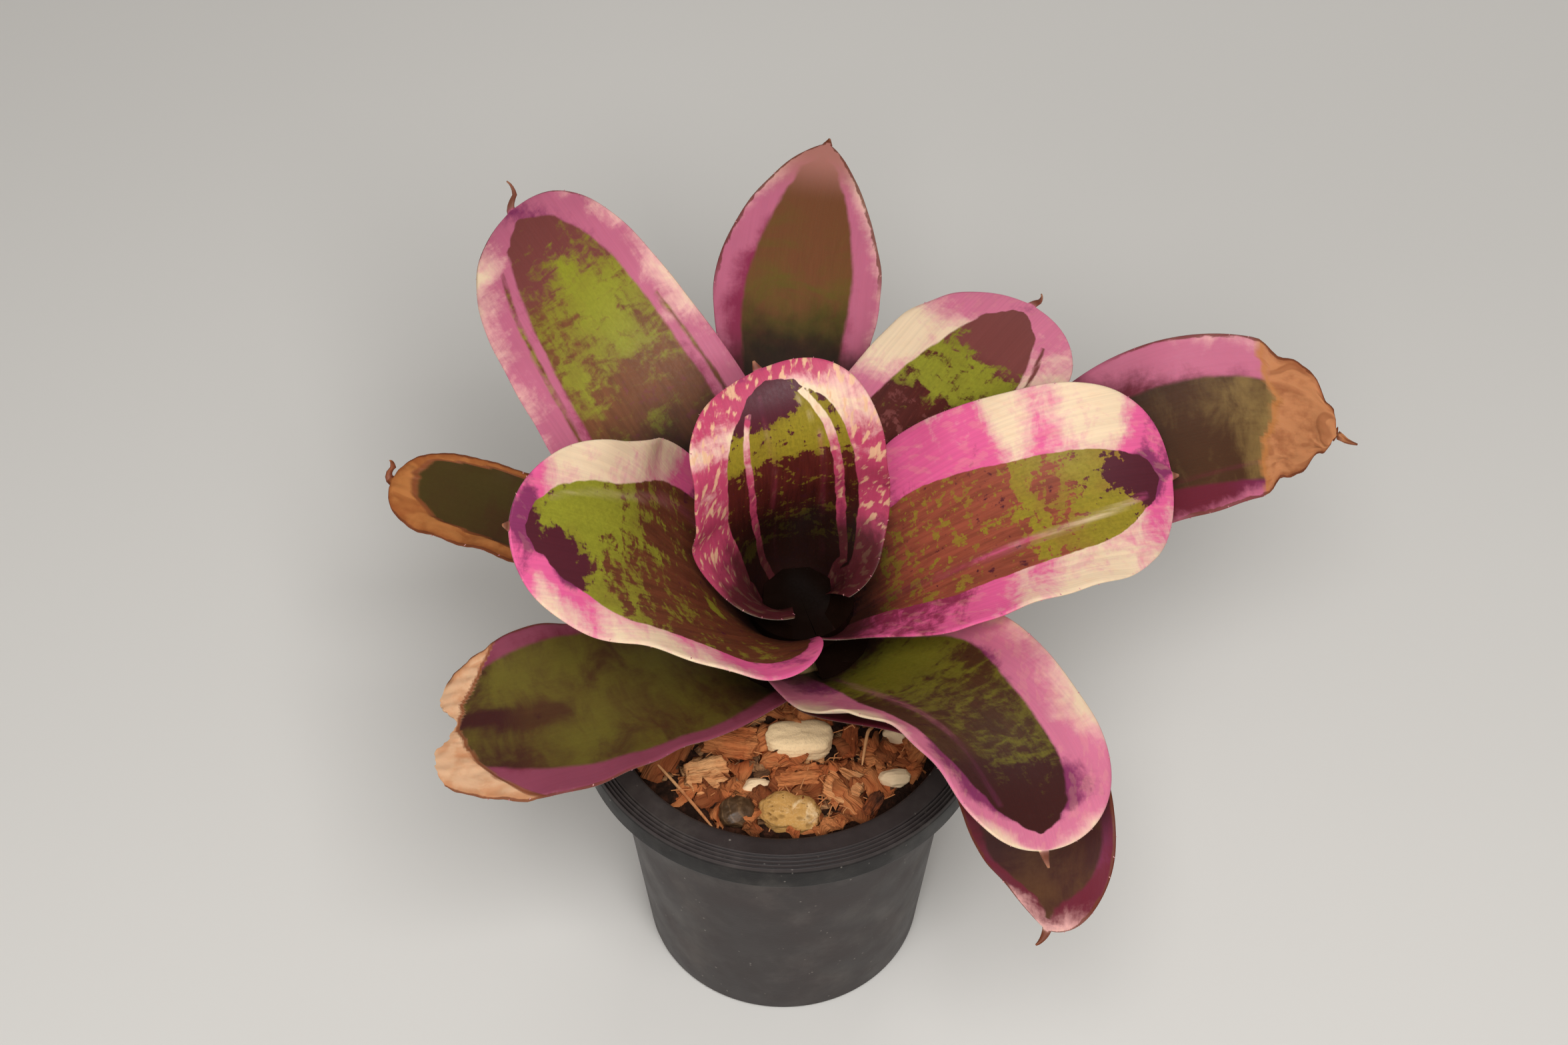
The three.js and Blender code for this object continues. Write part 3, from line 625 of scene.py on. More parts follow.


# ---- leaves ----

# The leaves stand in their order on the stem, youngest first, and a leaf's ring is its place in it.
#
# Form. azimuth is where the leaf heads and swing how far it turns by its tip. lean is the midrib's
# angle from vertical at foot, middle and tip. roll turns the blade about its midrib. half is the half
# width of sheath, waist and blade, cup the bend across blade and tip, and tip the share of the length
# where it narrows and two exponents of its outline. point is the small point's length, upward curl and
# side turn. A torn leaf has no point: kept is the share of the length left, and torn how deep its end is
# notched. shrunk is how far a dry end has drawn in, mm.
#
# Marks are in per cent: along from foot to tip, across from -100 at the left margin to 100 at the right,
# and amounts. left and right are the lines between the green centre and the pale margins. A stripe is
# its line, half width and strength, 100 for a pale one, less for a faint one and -100 for a green one.
# Red pigment is given along the left margin, the centre and the right margin, and a patch adds to it:
# across, along, reach across, reach along and amount. dry is the line past which tissue has dried.
#
# Looks. paint is the tints of the centre, its pigment, a full margin, a dense centre and a dense margin.
# fade is how much pigment a margin loses toward its rim, flecks and specks how many pale and red dots
# there are, blotch the size of the broad blotches, and soft how blurred all marks are. stain_shade_height
# is how high a dark stain reaches from the foot, mm: partly a stain where water stands, partly painted
# shade deep in the rosette. gloss is the roughness. dried is the tints of dry tissue when plain, worn and
# just dying, and fringe half the width of its border, mm. bleach is the shares of the length between
# which a tip fades, and its tint then. burnt is how far in a dying rim reaches, mm, and the share of the
# length where it starts.
OLD = {"flecks": 0.0, "specks": 0.2, "blotch": 9.0, "soft": 1}  # looks that the five oldest leaves share
LEAVES = [
    dict(
        name="leaf_centre", azimuth=116, length=72, lean=(47, -8, 76), swing=0, roll=-10,
        half=(38, 26.5, 24), cup=(31, 24), tip=(0.62, 3.2, 2), point=(2.5, 40, 0),
        paint=("lime", "wine", "rose", "plum", "crimson"), flecks=0.9, specks=1.0, stain_shade_height=28, gloss=0.42,
        fade=-0.1,
        left=[(0, -40), (20, -42), (30, -46), (45, -55), (60, -60), (75, -58), (85, -46), (91, -32),
            (94.5, -16), (96, 0)],
        right=[(0, 50), (30, 70), (60, 70), (75, 66), (85, 58), (91, 42), (94.5, 26), (96, 5)],
        stripes=[
            ([(0, -10), (15, -15), (30, -22), (50, -30), (80, -35), (88, -30)], 3.6, 100),
            ([(0, 50), (30, 57), (50, 55), (70, 52), (80, 48), (90, 38)], 4.6, 100),
            ([(0, 30), (50, 40), (80, 36), (90, 28)], 2, 30),
            ([(30, -5), (60, -10), (92, -12)], 3, 25),
        ],
        red_left=[(0, 120), (22, 110), (33, 90), (45, 84), (60, 74), (70, 76), (76, 66), (79, 34), (83, 28),
            (86, 60), (92, 80), (100, 90)],
        red=[(0, 110), (18, 100), (27, 58), (34, 66), (46, 76), (60, 80), (67, 76), (71, 20), (80, 20),
            (86, 80), (92, 110), (100, 120)],
        red_right=[(0, 120), (25, 105), (45, 88), (60, 80), (72, 70), (79, 42), (84, 24), (88, 34),
            (92, 60), (95, 80), (100, 90)],
        patches=[(-15, 88, 22, 5, 80), (38, 87, 18, 5, -70), (-30, 27, 12, 3, -60), (10, 38, 30, 3, -20)],
    ),
    dict(
        name="leaf_right", azimuth=10, length=93, lean=(47, 66, 109), swing=8, roll=29, half=(17, 30, 27),
        cup=(33, 28), tip=(0.59, 2.8, 2), point=(2, 30, 0),
        paint=("lime", "russet", "orchid", "plum", "crimson"), flecks=0.14, specks=1.4, stain_shade_height=16, gloss=0.5,
        fade=0.25,
        left=[(0, -60), (35, -55), (60, -42), (85, -33), (90, -30), (94, -20), (96, 0)],
        right=[(0, 45), (20, 50), (40, 56), (60, 58), (75, 57), (85, 50), (91, 38), (94.5, 24), (96, 5)],
        # This faint stripe is partly a pale stripe in the leaf and partly a painted reflection along its
        # length.
        stripes=[([(0, 24), (20, 27), (50, 31), (70, 31), (92, 24)], 5.5, 55)],
        red_left=[(0, 115), (30, 95), (38, 80), (56.5, 74), (60, 34), (63, 10), (66.5, 36), (70, 50),
            (74, 42), (78, 14), (87, 12), (91, 55), (94, 105), (100, 130)],
        red=[(0, 110), (14, 95), (20, 50), (25, 62), (35, 64), (45, 74), (56, 80), (61, 25), (66, 40),
            (71, 36), (78, 20), (86, 25), (94, 100), (100, 140)],
        red_right=[(0, 125), (30, 115), (42, 95), (50, 60), (55, 26), (59, 46), (64, 14), (80, 24),
            (88, 42), (95, 62), (100, 80)],
        patches=[(-10, 88, 22, 6, 100), (15, 94, 30, 3.5, 80), (35, 83, 20, 8, -35), (6, 52, 4, 7, -50),
            (-30, 45, 15, 8, -12), (-5, 68, 20, 4, 25)],
    ),
    dict(
        name="leaf_left", azimuth=210, length=98, lean=(32, 37, 60), swing=-12, roll=-35,
        half=(14, 37.5, 26), cup=(32, 9), tip=(0.6, 2.1, 2), point=(2, 30, 0),
        paint=("leaf_green", "umber", "orchid", "plum", "violet"), flecks=0.08, specks=1.1, stain_shade_height=16,
        gloss=0.5, blotch=5.0, soft=0.2, fade=0.3,
        left=[(0, -95), (20, -90), (30, -87), (40, -79), (50, -70), (60, -70), (70, -72), (80, -56),
            (88, -44), (93, -28), (95.5, -12), (96.5, 0)],
        right=[(0, 90), (33, 75), (50, 70), (70, 62), (85, 58), (92, 50), (95, 30), (96.5, 5)],
        stripes=[([(0, 66), (40, 60), (60, 54), (90, 46)], 5, 20)],
        red_left=[(0, 120), (36, 95), (45, 70), (55, 36), (66, 24), (74, 34), (79, 54), (84, 50), (88, 34),
            (93, 60), (96, 110), (100, 110)],
        red=[(0, 110), (30, 84), (42, 72), (52, 72), (60, 62), (68, 54), (75, 34), (100, 25)],
        red_right=[(0, 130), (31, 100), (38, 55), (44, 24), (52, 34), (60, 20), (80, 20), (88, 26),
            (93, 80), (96, 125), (100, 140)],
        patches=[(-42, 85, 20, 5, 90), (-15, 87, 18, 7, 90), (20, 96, 40, 3, 100), (35, 78, 32, 14, -45),
            (-15, 34, 8, 3, -60), (-2, 30, 5, 3, -40), (12, 50, 7, 8, -40), (40, 50, 6, 10, -25)],
    ),
    dict(
        name="leaf_rear_upright", azimuth=50, length=93, lean=(43, 60, 91), swing=1, roll=-2,
        half=(18, 26, 24), cup=(19, -8), tip=(0.64, 3.1, 2), point=(5, 110, -40),
        paint=("leaf_green", "wine", "pink", "dusk", "violet"), flecks=0.08, specks=0.9, stain_shade_height=10, gloss=0.48,
        soft=0.3, fade=0.2,
        left=[(0, -70), (50, -68), (65, -60), (75, -50), (85, -42), (92, -32), (95, -18), (96.5, 0)],
        right=[(0, 60), (60, 60), (75, 54), (85, 46), (92, 34), (95, 20), (96.5, 0)],
        stripes=[([(0, 70), (70, 66), (90, 55)], 2.4, -100)],
        red_left=[(0, 100), (55, 80), (60, 42), (66, 10), (79, 12), (84, 50), (90, 75), (100, 85)],
        red=[(0, 100), (50, 100), (59, 85), (64, 34), (70, 22), (76, 30), (80, 85), (86, 125), (100, 120)],
        red_right=[(0, 100), (65, 70), (76, 25), (85, 45), (93, 70), (100, 95)],
        patches=[(-35, 83, 15, 5, -50)],
    ),
    dict(
        name="leaf_rear_left_tall", azimuth=133, length=124, lean=(57, 58, 100), swing=-17, roll=-29,
        half=(18, 26, 23.5), cup=(15, 15), tip=(0.57, 2.7, 2), point=(9, 100, -60),
        paint=("leaf_green", "cinnamon", "dusty_pink", "dusk", "crimson"), flecks=0.0, specks=0.7, stain_shade_height=48,
        gloss=0.5, soft=0.6, fade=0.45, burnt=(0.35, 0.86),
        left=[(0, -60), (50, -58), (70, -53), (80, -47), (88, -42), (94, -28), (96.5, 0)],
        right=[(0, 70), (55, 66), (70, 66), (80, 63), (88, 53), (94, 34), (96.5, 0)],
        stripes=[
            ([(0, -72), (50, -69), (70, -65), (88, -58)], 2.2, -100),
            ([(0, 80), (50, 78), (66, 77)], 1.8, -100),
        ],
        red_left=[(0, 110), (50, 90), (60, 72), (75, 68), (85, 60), (90, 30), (94, 60), (100, 110)],
        red=[(0, 100), (42, 95), (50, 85), (54, 66), (60, 52), (70, 45), (78, 52), (85, 75), (90, 100),
            (100, 110)],
        red_right=[(0, 110), (50, 90), (57, 70), (62, 45), (70, 55), (80, 72), (92, 80), (100, 110)],
        patches=[(20, 68, 24, 10, -45), (-35, 80, 20, 10, 15), (-40, 55, 12, 6, -40), (10, 80, 10, 5, -30),
            (10, 44, 16, 2.5, -60), (-30, 43, 8, 2, -50), (5, 54, 15, 4, 35)],
    ),
    dict(
        name="leaf_front_right", azimuth=312, length=103, lean=(53, 62, 112), swing=-32, roll=-20,
        half=(21, 27, 23.5), cup=(27, 25), tip=(0.62, 3.2, 2), point=(4, 20, 0),
        paint=("moss", "shaded_sepia", "pink", "claret", "violet"), flecks=0.12, specks=0.8, stain_shade_height=10, gloss=0.48,
        soft=0.65, fade=0.6,
        left=[(0, -45), (20, -55), (35, -64), (50, -56), (70, -50), (85, -48), (91, -42), (95, -24),
            (96.5, 0)],
        right=[(0, 35), (30, 50), (50, 65), (70, 74), (80, 70), (87, 62), (92, 48), (95, 28), (96.5, 0)],
        stripes=[([(0, 22), (30, 30), (60, 40), (90, 46)], 6, 30)],
        red_left=[(0, 120), (18, 110), (27, 80), (35, 62), (45, 70), (55, 72), (62, 55), (70, 45), (76, 60),
            (83, 105), (90, 110), (95, 65), (100, 50)],
        red=[(0, 100), (8, 90), (13, 46), (30, 30), (42, 42), (55, 50), (70, 54), (78, 62), (84, 85),
            (90, 115), (100, 130)],
        red_right=[(0, 115), (18, 95), (26, 50), (34, 36), (55, 26), (65, 50), (72, 88), (80, 112),
            (88, 100), (95, 50), (100, 45)],
        patches=[(0, 22, 60, 13, -40), (-55, 42, 14, 5, 45), (55, 50, 25, 50, 40), (-10, 65, 18, 5, 35),
            (-30, 50, 20, 4, 20)],
    ),
    dict(
        name="leaf_front_left", azimuth=219, length=95, lean=(55, 76, 106), swing=-45, roll=-7,
        half=(15, 20, 24.4), cup=(19, -2), tip=(0.5, 2.4, 2), torn=0.06, kept=0.95,
        # Its dark margin tints are partly painted shade of this low leaf.
        paint=("olive", "shaded_sepia", "shaded_damson", "claret", "shaded_garnet"), dried=("tan", "fawn", "rust"), fringe=0.7,
        stain_shade_height=10, gloss=0.52, fade=0.2, burnt=(0.4, 0.5), **OLD,
        left=[(0, -60), (25, -80), (45, -84), (60, -75), (75, -62), (85, -55), (100, -45)],
        right=[(0, 70), (40, 94), (55, 86), (70, 80), (85, 76), (100, 70)],
        red_left=[(0, 100), (50, 90), (70, 80), (100, 85)],
        red=[(0, 80), (12, 50), (30, 42), (45, 50), (55, 34), (65, 42), (75, 50), (85, 42), (100, 50)],
        red_right=[(0, 110), (50, 100), (100, 100)],
        patches=[(12, 85, 9, 8, 70), (0, 72, 12, 12, 40), (-30, 60, 25, 6, -30), (50, 75, 25, 12, -35),
            (30, 35, 30, 8, -30), (-50, 78, 20, 8, 20)],
        dry=[(-100, 74), (-80, 80), (-50, 86), (0, 90), (40, 88.5), (75, 83), (100, 78)],
    ),
    dict(
        name="leaf_rear_pointed", azimuth=92.5, length=131, lean=(63, 65, 91), swing=-18, roll=0,
        half=(20, 16.5, 23), cup=(18, 15), tip=(0.57, 1.6, 1.4), point=(2, 20, 0),
        paint=("olive", "cinnamon", "dusty_pink", "cinnamon", "crimson"), stain_shade_height=70, gloss=0.54, fade=0.5,
        bleach=(0.84, 0.97, "faded"), burnt=(0.9, 0.6), **OLD,
        left=[(0, -70), (55, -68), (70, -60), (80, -55), (88, -50), (94, -40), (98, 0)],
        right=[(0, 70), (55, 62), (75, 66), (87, 62), (94, 45), (98, 0)],
        red_left=[(0, 130), (60, 115), (72, 95), (82, 72), (92, 55), (100, 70)],
        red=[(0, 80), (50, 60), (58, 34), (64, 50), (70, 72), (80, 90), (88, 95), (100, 100)],
        red_right=[(0, 110), (60, 82), (80, 62), (90, 50), (100, 70)],
        patches=[(40, 62, 30, 6, -15)],
    ),
    dict(
        name="leaf_far_right", azimuth=25, length=139, lean=(68, 63, 121), swing=-26, roll=29,
        half=(17, 18.5, 23), cup=(11, 23), tip=(0.59, 2.9, 2), point=(6, 60, -15),
        paint=("khaki", "shaded_sepia", "dusty_pink", "shaded_sepia", "shaded_garnet"), dried=("fawn", "rust", "amber"), stain_shade_height=84,
        gloss=0.54, fade=0.5, burnt=(0.9, 0.6), shrunk=3.4, **OLD,
        left=[(0, -50), (70, -52), (82, -52), (100, -50)],
        right=[(0, 60), (70, 66), (85, 78), (100, 80)],
        stripes=[([(0, 50), (70, 56), (100, 55)], 4, 40)],
        red_left=[(0, 130), (62, 115), (70, 95), (78, 78), (100, 70)],
        # Pigment here darkens the centre toward the foot, partly as painted shade.
        red=[(0, 100), (62, 95), (70, 85), (77, 70), (83, 34), (87, 15), (100, 10)],
        red_right=[(0, 140), (70, 130), (80, 110), (100, 100)],
        patches=[(50, 75, 40, 6, 30)],
        dry=[(-100, 86), (-60, 86.5), (-30, 88.5), (0, 88), (30, 86), (60, 85), (100, 85)],
    ),
    dict(
        name="leaf_far_left", azimuth=155, length=104, lean=(56, 84, 92), swing=4, roll=-13,
        half=(15.5, 13.5, 12), cup=(16, 2), tip=(0.72, 4, 2), point=(7, 120, -80),
        # Its drab centre is partly painted shade of this low leaf.
        paint=("shaded_drab", "shaded_sepia", "umber", "shaded_drab", "umber"), dried=("amber", "ginger", "rust"), stain_shade_height=10,
        gloss=0.55, fringe=1.6, burnt=(0.5, 0.0), **OLD,
        left=[(0, -95), (100, -95)],
        right=[(0, 95), (100, 95)],
        red_left=[(0, 100), (100, 100)],
        red=[(0, 60), (70, 40), (85, 50), (100, 80)],
        red_right=[(0, 100), (100, 100)],
        patches=[(50, 75, 40, 15, -40)],
        dry=[(-100, 0), (-84, 0), (-76, 60), (-60, 86), (-20, 93.5), (40, 95), (78, 93), (90, 74), (95, 0),
            (100, 0)],
    ),
    dict(
        name="leaf_lowest", azimuth=323, length=108, lean=(60, 74, 162), swing=-67, roll=29,
        half=(13, 12, 17), cup=(20, -7), tip=(0.65, 2.9, 1.6), point=(5, 100, 0),
        # Its dark tints are partly painted shade of this low leaf.
        paint=("shaded_bronze", "claret", "shaded_garnet", "claret", "claret"), stain_shade_height=10, gloss=0.52, fade=0.2,
        burnt=(0.7, 0.5), **OLD,
        left=[(0, -75), (70, -74), (88, -66), (97, 0)],
        right=[(0, 75), (70, 80), (88, 72), (97, 0)],
        red_left=[(0, 130), (80, 120), (90, 85), (96, 52), (100, 45)],
        red=[(0, 90), (70, 80), (82, 60), (90, 40), (100, 40)],
        red_right=[(0, 110), (80, 100), (90, 78), (96, 50), (100, 45)],
    ),
]

for place, entry in enumerate(LEAVES):
    entry["ring"] = place

WRAP = 2.55  # most that a sheath may bend round the stem to each side, radians
OPENING = (0.12, 0.5)  # shares of the length over which a sheath opens into a blade
WAIST, BLADE = 0.38, 0.72  # shares of the length where a leaf has the waist's and the blade's width
STEPS = 160  # steps in which a midrib is summed
UV_SIZE = 100.0  # millimetres that one unit of a leaf's own coordinates spans
POINT_ROWS = 8  # steps along the small point
POINT_MARKS = {"rim": 0.4, "pale": 2.0, "faint": 0.0, "red_centre": 0.5, "red_margin": 0.4}
TOOTHED = (0.16, 0.985, 150)  # share of the length where spines start and end, and steps between
TOOTHED_GREEN = (0.16, 0.84, 120)  # the same on a leaf whose end has dried or is torn


def foot(ring):
    """Radius and height at which the leaf of a ring leaves the stem."""
    plant = settings("plant")
    radius = plant.top_radius + plant.spread * (1 - math.exp(-ring / plant.spread_rings))
    return radius, RIM_HEIGHT + plant.foot_height - plant.ring_step * ring


def course(leaf, s):
    """Lean from vertical and heading of the midrib, radians."""
    low, middle, high = leaf["lean"]
    lean = low * (1 - s) * (1 - 2 * s) + 4 * middle * s * (1 - s) + high * s * (2 * s - 1)
    return np.radians(lean), np.radians(leaf["azimuth"] + leaf["swing"] * s * s)


def tangent(lean, heading):
    """The way along the midrib."""
    flat = np.sin(lean)
    return np.stack([flat * np.cos(heading), flat * np.sin(heading), np.cos(lean)], -1)


def midrib(leaf):
    """Points along the midrib."""
    plant = settings("plant")
    radius, height = foot(leaf["ring"])
    start = math.radians(leaf["azimuth"])
    first = (plant.x + radius * math.cos(start), plant.y + radius * math.sin(start), height)
    ways = tangent(*course(leaf, np.linspace(0, 1, STEPS + 1)))
    steps = (ways[1:] + ways[:-1]) * leaf["length"] / STEPS / 2
    return np.vstack([[first], first + np.cumsum(steps, 0)])


def strap_width(leaf, s):
    """Half width before the tip narrows."""
    sheath, waist, blade = leaf["half"]
    past = smooth(0, WAIST, s)
    late = smooth(WAIST, BLADE, s)
    return sheath * (1 - past) + (waist * (1 - late) + blade * late) * past


def tip_narrowing(leaf, s):
    """Share of the strap's width that is left."""
    shoulder, rounding, taper = leaf["tip"]
    x = np.clip((s - shoulder) / (1 - shoulder), 0, 1)
    return np.maximum(1 - x**rounding, 0) ** (1 / taper)


def sections(leaf, s):
    """Cross-sections at shares of the length: an arc of a bend about the axes across and up."""
    plant = settings("plant")
    lean, heading = course(leaf, s)
    points = midrib(leaf)
    place = np.clip(s, 0, 1) * STEPS
    i = np.minimum(place.astype(int), STEPS - 1)
    share = (place - i)[..., None]
    centre = points[i] * (1 - share) + points[i + 1] * share
    along = tangent(lean, heading)
    inward = np.stack([-np.cos(lean) * np.cos(heading), -np.cos(lean) * np.sin(heading), np.sin(lean)], -1)
    side = np.cross(along, inward)
    roll = (math.radians(leaf["roll"]) * smooth(0.15, 1, s))[..., None]
    up = inward * np.cos(roll) + side * np.sin(roll)
    across = side * np.cos(roll) - inward * np.sin(roll)

    from_axis = np.hypot(centre[..., 0] - plant.x, centre[..., 1] - plant.y)
    flat = smooth(0.6, 1, s)
    strap = strap_width(leaf, s)
    blade_bend = np.radians(leaf["cup"][0] * (1 - flat) + leaf["cup"][1] * flat) / strap
    opened = smooth(*OPENING, s)
    bend = np.cos(lean) / from_axis * (1 - opened) + blade_bend * opened
    bend = np.where(np.abs(bend) < 1e-6, 1e-6, bend)
    widest = np.minimum(strap, WRAP / np.abs(bend))
    half = np.maximum(widest * tip_narrowing(leaf, s), plant.point_half)
    return {"centre": centre, "along": along, "across": across, "up": up, "bend": bend, "half": half}


def on_surface(section, u):
    """Place in the middle of the leaf's thickness, and the way up from it."""
    angle = (u * section["half"] * section["bend"])[..., None]
    bend = section["bend"][..., None]
    place = section["centre"] + section["across"] * np.sin(angle) / bend
    place = place + section["up"] * (1 - np.cos(angle)) / bend
    return place, section["up"] * np.cos(angle) - section["across"] * np.sin(angle)


def turned(vectors, axis, angle):
    """Vectors turned about one axis."""
    axis = unit(axis)
    along = np.sum(vectors * axis, -1, keepdims=True) * axis
    return along + (vectors - along) * math.cos(angle) + np.cross(axis, vectors) * math.sin(angle)


def point_rows(leaf, u):
    """The small curled point past the end of the blade, as rows of places and ways up."""
    size, curl, aim = leaf["point"]
    curl = math.radians(curl)
    end = sections(leaf, np.array([1.0]))
    places, normals = [], []
    for m in np.arange(1, POINT_ROWS + 1) / POINT_ROWS:
        turn = curl * m
        side = math.radians(aim) * min(1, 2 * m)
        forward = turned(end["along"], end["up"][0], side)
        section = {
            "centre": end["centre"] + forward * size * math.sin(turn) / curl
            + end["up"] * size * (1 - math.cos(turn)) / curl,
            "across": turned(end["across"], end["up"][0], side),
            "up": end["up"] * math.cos(turn) - forward * math.sin(turn),
            "bend": end["bend"],
            "half": np.array([settings("plant").point_half * (1 - 0.8 * m)]),
        }
        place, normal = on_surface(section, u)
        places.append(place)
        normals.append(normal)
    return np.array(places), np.array(normals)


def blade_grid(leaf):
    """Shares along and across, as a grid of rows from foot to tip."""
    plant = settings("plant")
    shoulder = leaf["tip"][0]
    end = leaf.get("kept", 1.0)
    low = shoulder * np.arange(plant.rows) / plant.rows
    high = shoulder + (end - shoulder) * np.sin(np.linspace(0, math.pi / 2, plant.tip_rows + 1))
    s, u = np.meshgrid(np.concatenate([low, high]), np.linspace(-1, 1, plant.columns + 1), indexing="ij")
    if leaf.get("torn"):
        notch = np.maximum(0, 1 - np.abs(u - 0.1) / 0.55) + 0.35 * np.abs(u) ** 4
        ragged = 0.18 * swell(u * 20, s * 0, 9, 5) * smooth(0.9, 1, s / end)
        s = s - leaf["torn"] * (notch + ragged) * smooth(shoulder, 1, s)
    return s, u


def dryness(leaf, s, u):
    """1 on dry tissue and 0 on green, with a soft border."""
    if "dry" not in leaf:
        return np.zeros_like(s)
    line = np.interp(u, *shares(leaf["dry"])) + 0.008 * swell(u * 24, s * 0, 11, 7)
    wave = leaf.get("fringe", 1.2) / leaf["length"]
    return smooth(-wave, wave, s - line)


def marks(leaf, s, u, half):
    """The marks on a leaf: how far a place lies from the rim and inside the pale margin, faint stripes,
    dry tissue, and red pigment in the centre and in the margin."""
    left_line, right_line = shares(leaf["left"]), shares(leaf["right"])
    left, right = curve(*left_line, s), curve(*right_line, s)
    closed = s > max(left_line[0, -1], right_line[0, -1])
    middle = (left + right) / 2
    pale = np.where(u < middle, left - u, u - right) * half
    pale = pale + 0.9 * swell(u * half, s * leaf["length"], 7, leaf["ring"] + 50) * smooth(0.8, 0.95, s)
    pale = np.where(closed & (left_line[0, -1] < 0.99), np.maximum(pale, 1.0), pale)
    rim = (1 - np.abs(u)) * half
    outward = np.clip(pale / np.maximum(pale + rim, 0.5), 0, 1)
    faint = np.zeros_like(s)
    stained = np.zeros_like(s)
    for points, *sizes in leaf.get("stripes", ()):
        line, (width, kind) = shares(points), shares(sizes)
        inside = (width - np.abs(u - curve(*line, s))) * half
        inside = np.where((s > line[0, -1]) | (s < 0.02), -1.0, inside)
        stained = stained + 0.3 * kind * smooth(-0.1, 0.3, inside) * smooth(0.66, 0.5, s)
        if 0 < kind < 1:
            faint = np.maximum(faint, kind * smooth(0, width * 0.9, inside / half))
        else:
            pale = np.maximum(pale, inside) if kind > 0 else np.minimum(pale, -inside)
    sided = smooth(-0.25, 0.25, u - middle)
    red_left, centre, red_right = (
        np.interp(s, *shares(leaf[key])) for key in ("red_left", "red", "red_right")
    )
    margin = red_left * (1 - sided) + red_right * sided
    added = np.zeros_like(s)
    for patch in leaf.get("patches", ()):
        across, along, reach, stretch, amount = shares(patch)
        added = added + amount * np.exp(-(((u - across) / reach) ** 2) - ((s - along) / stretch) ** 2)
    fading = leaf.get("fade", 0) * (0.5 - outward)
    return {
        "pale": pale,
        "faint": faint,
        "red_centre": centre + added,
        "red_margin": margin + added + stained + fading,
        "dry": dryness(leaf, s, u),
        "rim": rim,
    }


def extended(grid, values):
    """A grid with a further row for each value."""
    return np.concatenate([grid, np.repeat(values[:, None], grid.shape[1], 1)])


def round_ring(grid):
    """Values of the grid laid round each ring: over the top, the lip, back underneath and the lip."""
    return np.concatenate([grid, grid[:, -1:], grid[:, ::-1], grid[:, :1]], 1)


def straying(leaf, s, u, half, dry):
    """How far the blade strays from its smooth form: up in waves and folds, and across where dry."""
    seed = leaf["ring"] + 3
    length_along = s * leaf["length"]
    edge = smooth(0.55, 1, np.abs(u)) * smooth(0.3, 0.5, s) * smooth(1, 0.9, s)
    wavelength = 13 + leaf["ring"] % 3 * 2.5
    wave = edge * np.sin(length_along * math.tau / wavelength + seed + 2 * u)
    fold = 0.5 * dry * swell(u * half, length_along * 0.3, 6, seed, 5)
    drawn = leaf.get("shrunk", 0) * (swell(length_along, u * 0, 13, seed + 9) - 0.8)
    drawn = (drawn + 0.4 * swell(length_along, u * 0, 8, seed + 4)) * dry * u * smooth(0.3, 1, np.abs(u))
    return settings("plant").ripple * wave + fold, drawn


def shell(place, normal, u, taper):
    """Both sides of a blade and its rounded lips: a ring of places for each row, and the faces."""
    plant = settings("plant")
    thick = plant.thickness + (plant.edge - plant.thickness) * np.abs(u) ** 3
    offset = normal * (thick * taper[:, None] / 2)[..., None]
    outward = unit(place[:, [0, -1]] - place[:, [1, -2]])
    lip = place[:, [0, -1]] + outward * (plant.edge * 0.3 * taper)[:, None, None]
    ring = np.concatenate([place + offset, lip[:, 1:], (place - offset)[:, ::-1], lip[:, :1]], 1)
    columns = u.shape[1]
    index, faces = tube_faces(*ring.shape[:2])
    for row, flip in ((0, True), (-1, False)):
        upper = index[row, :columns].tolist()
        lower = index[row, columns + 1 : 2 * columns + 1][::-1].tolist()
        caps = [[a, b, d, c] for a, b, c, d in zip(upper, upper[1:], lower, lower[1:])]
        caps.append([upper[0], lower[0], index[row, -1]])
        caps.append([upper[-1], index[row, columns], lower[-1]])
        faces += [face[::-1] for face in caps] if flip else caps
    return ring, faces


def leaf_mesh(leaf):
    """The closed mesh of one leaf, with its own coordinates and marks."""
    s, u = blade_grid(leaf)
    section = sections(leaf, s)
    half = section["half"]
    place, normal = on_surface(section, u)
    length_along = s * leaf["length"]
    marked = marks(leaf, s, u, half)
    up, drawn = straying(leaf, s, u, half, marked["dry"])
    place = place + normal * up[..., None] + section["across"] * drawn[..., None]
    taper = np.ones(len(u))
    if "point" in leaf:
        more, ways = point_rows(leaf, u[0])
        place = np.concatenate([place, more])
        normal = np.concatenate([normal, ways])
        past = np.arange(1, POINT_ROWS + 1)
        length_along = extended(length_along, leaf["length"] + 0.3 * past)
        half = extended(half, np.full(POINT_ROWS, settings("plant").point_half))
        for name, value in POINT_MARKS.items():
            marked[name] = extended(marked[name], np.full(POINT_ROWS, value))
        marked["dry"] = extended(marked["dry"], np.linspace(0.3, 1, POINT_ROWS))
        u = np.concatenate([u, np.repeat(u[:1], POINT_ROWS, 0)])
        taper = np.concatenate([taper, np.linspace(0.95, 0.35, POINT_ROWS)])

    ring, faces = shell(place, normal, u, taper)
    mesh = mesh_of(leaf["name"], ring.reshape(-1, 3), faces)
    for name, grid in marked.items():
        point_values(mesh, name, round_ring(grid).ravel())
    columns = u.shape[1]
    under = np.zeros(ring.shape[:2])
    under[:, columns + 1 : 2 * columns + 1] = 1
    point_values(mesh, "under", under.ravel())
    own = np.stack([round_ring(u * half), round_ring(length_along)], -1).reshape(-1, 2) / UV_SIZE + (0.5, 0)
    corners = np.zeros(len(mesh.loops), int)
    mesh.loops.foreach_get("vertex_index", corners)
    mesh.uv_layers.new(name="blade").data.foreach_set("uv", own[corners].astype(np.float32).ravel())
    return mesh


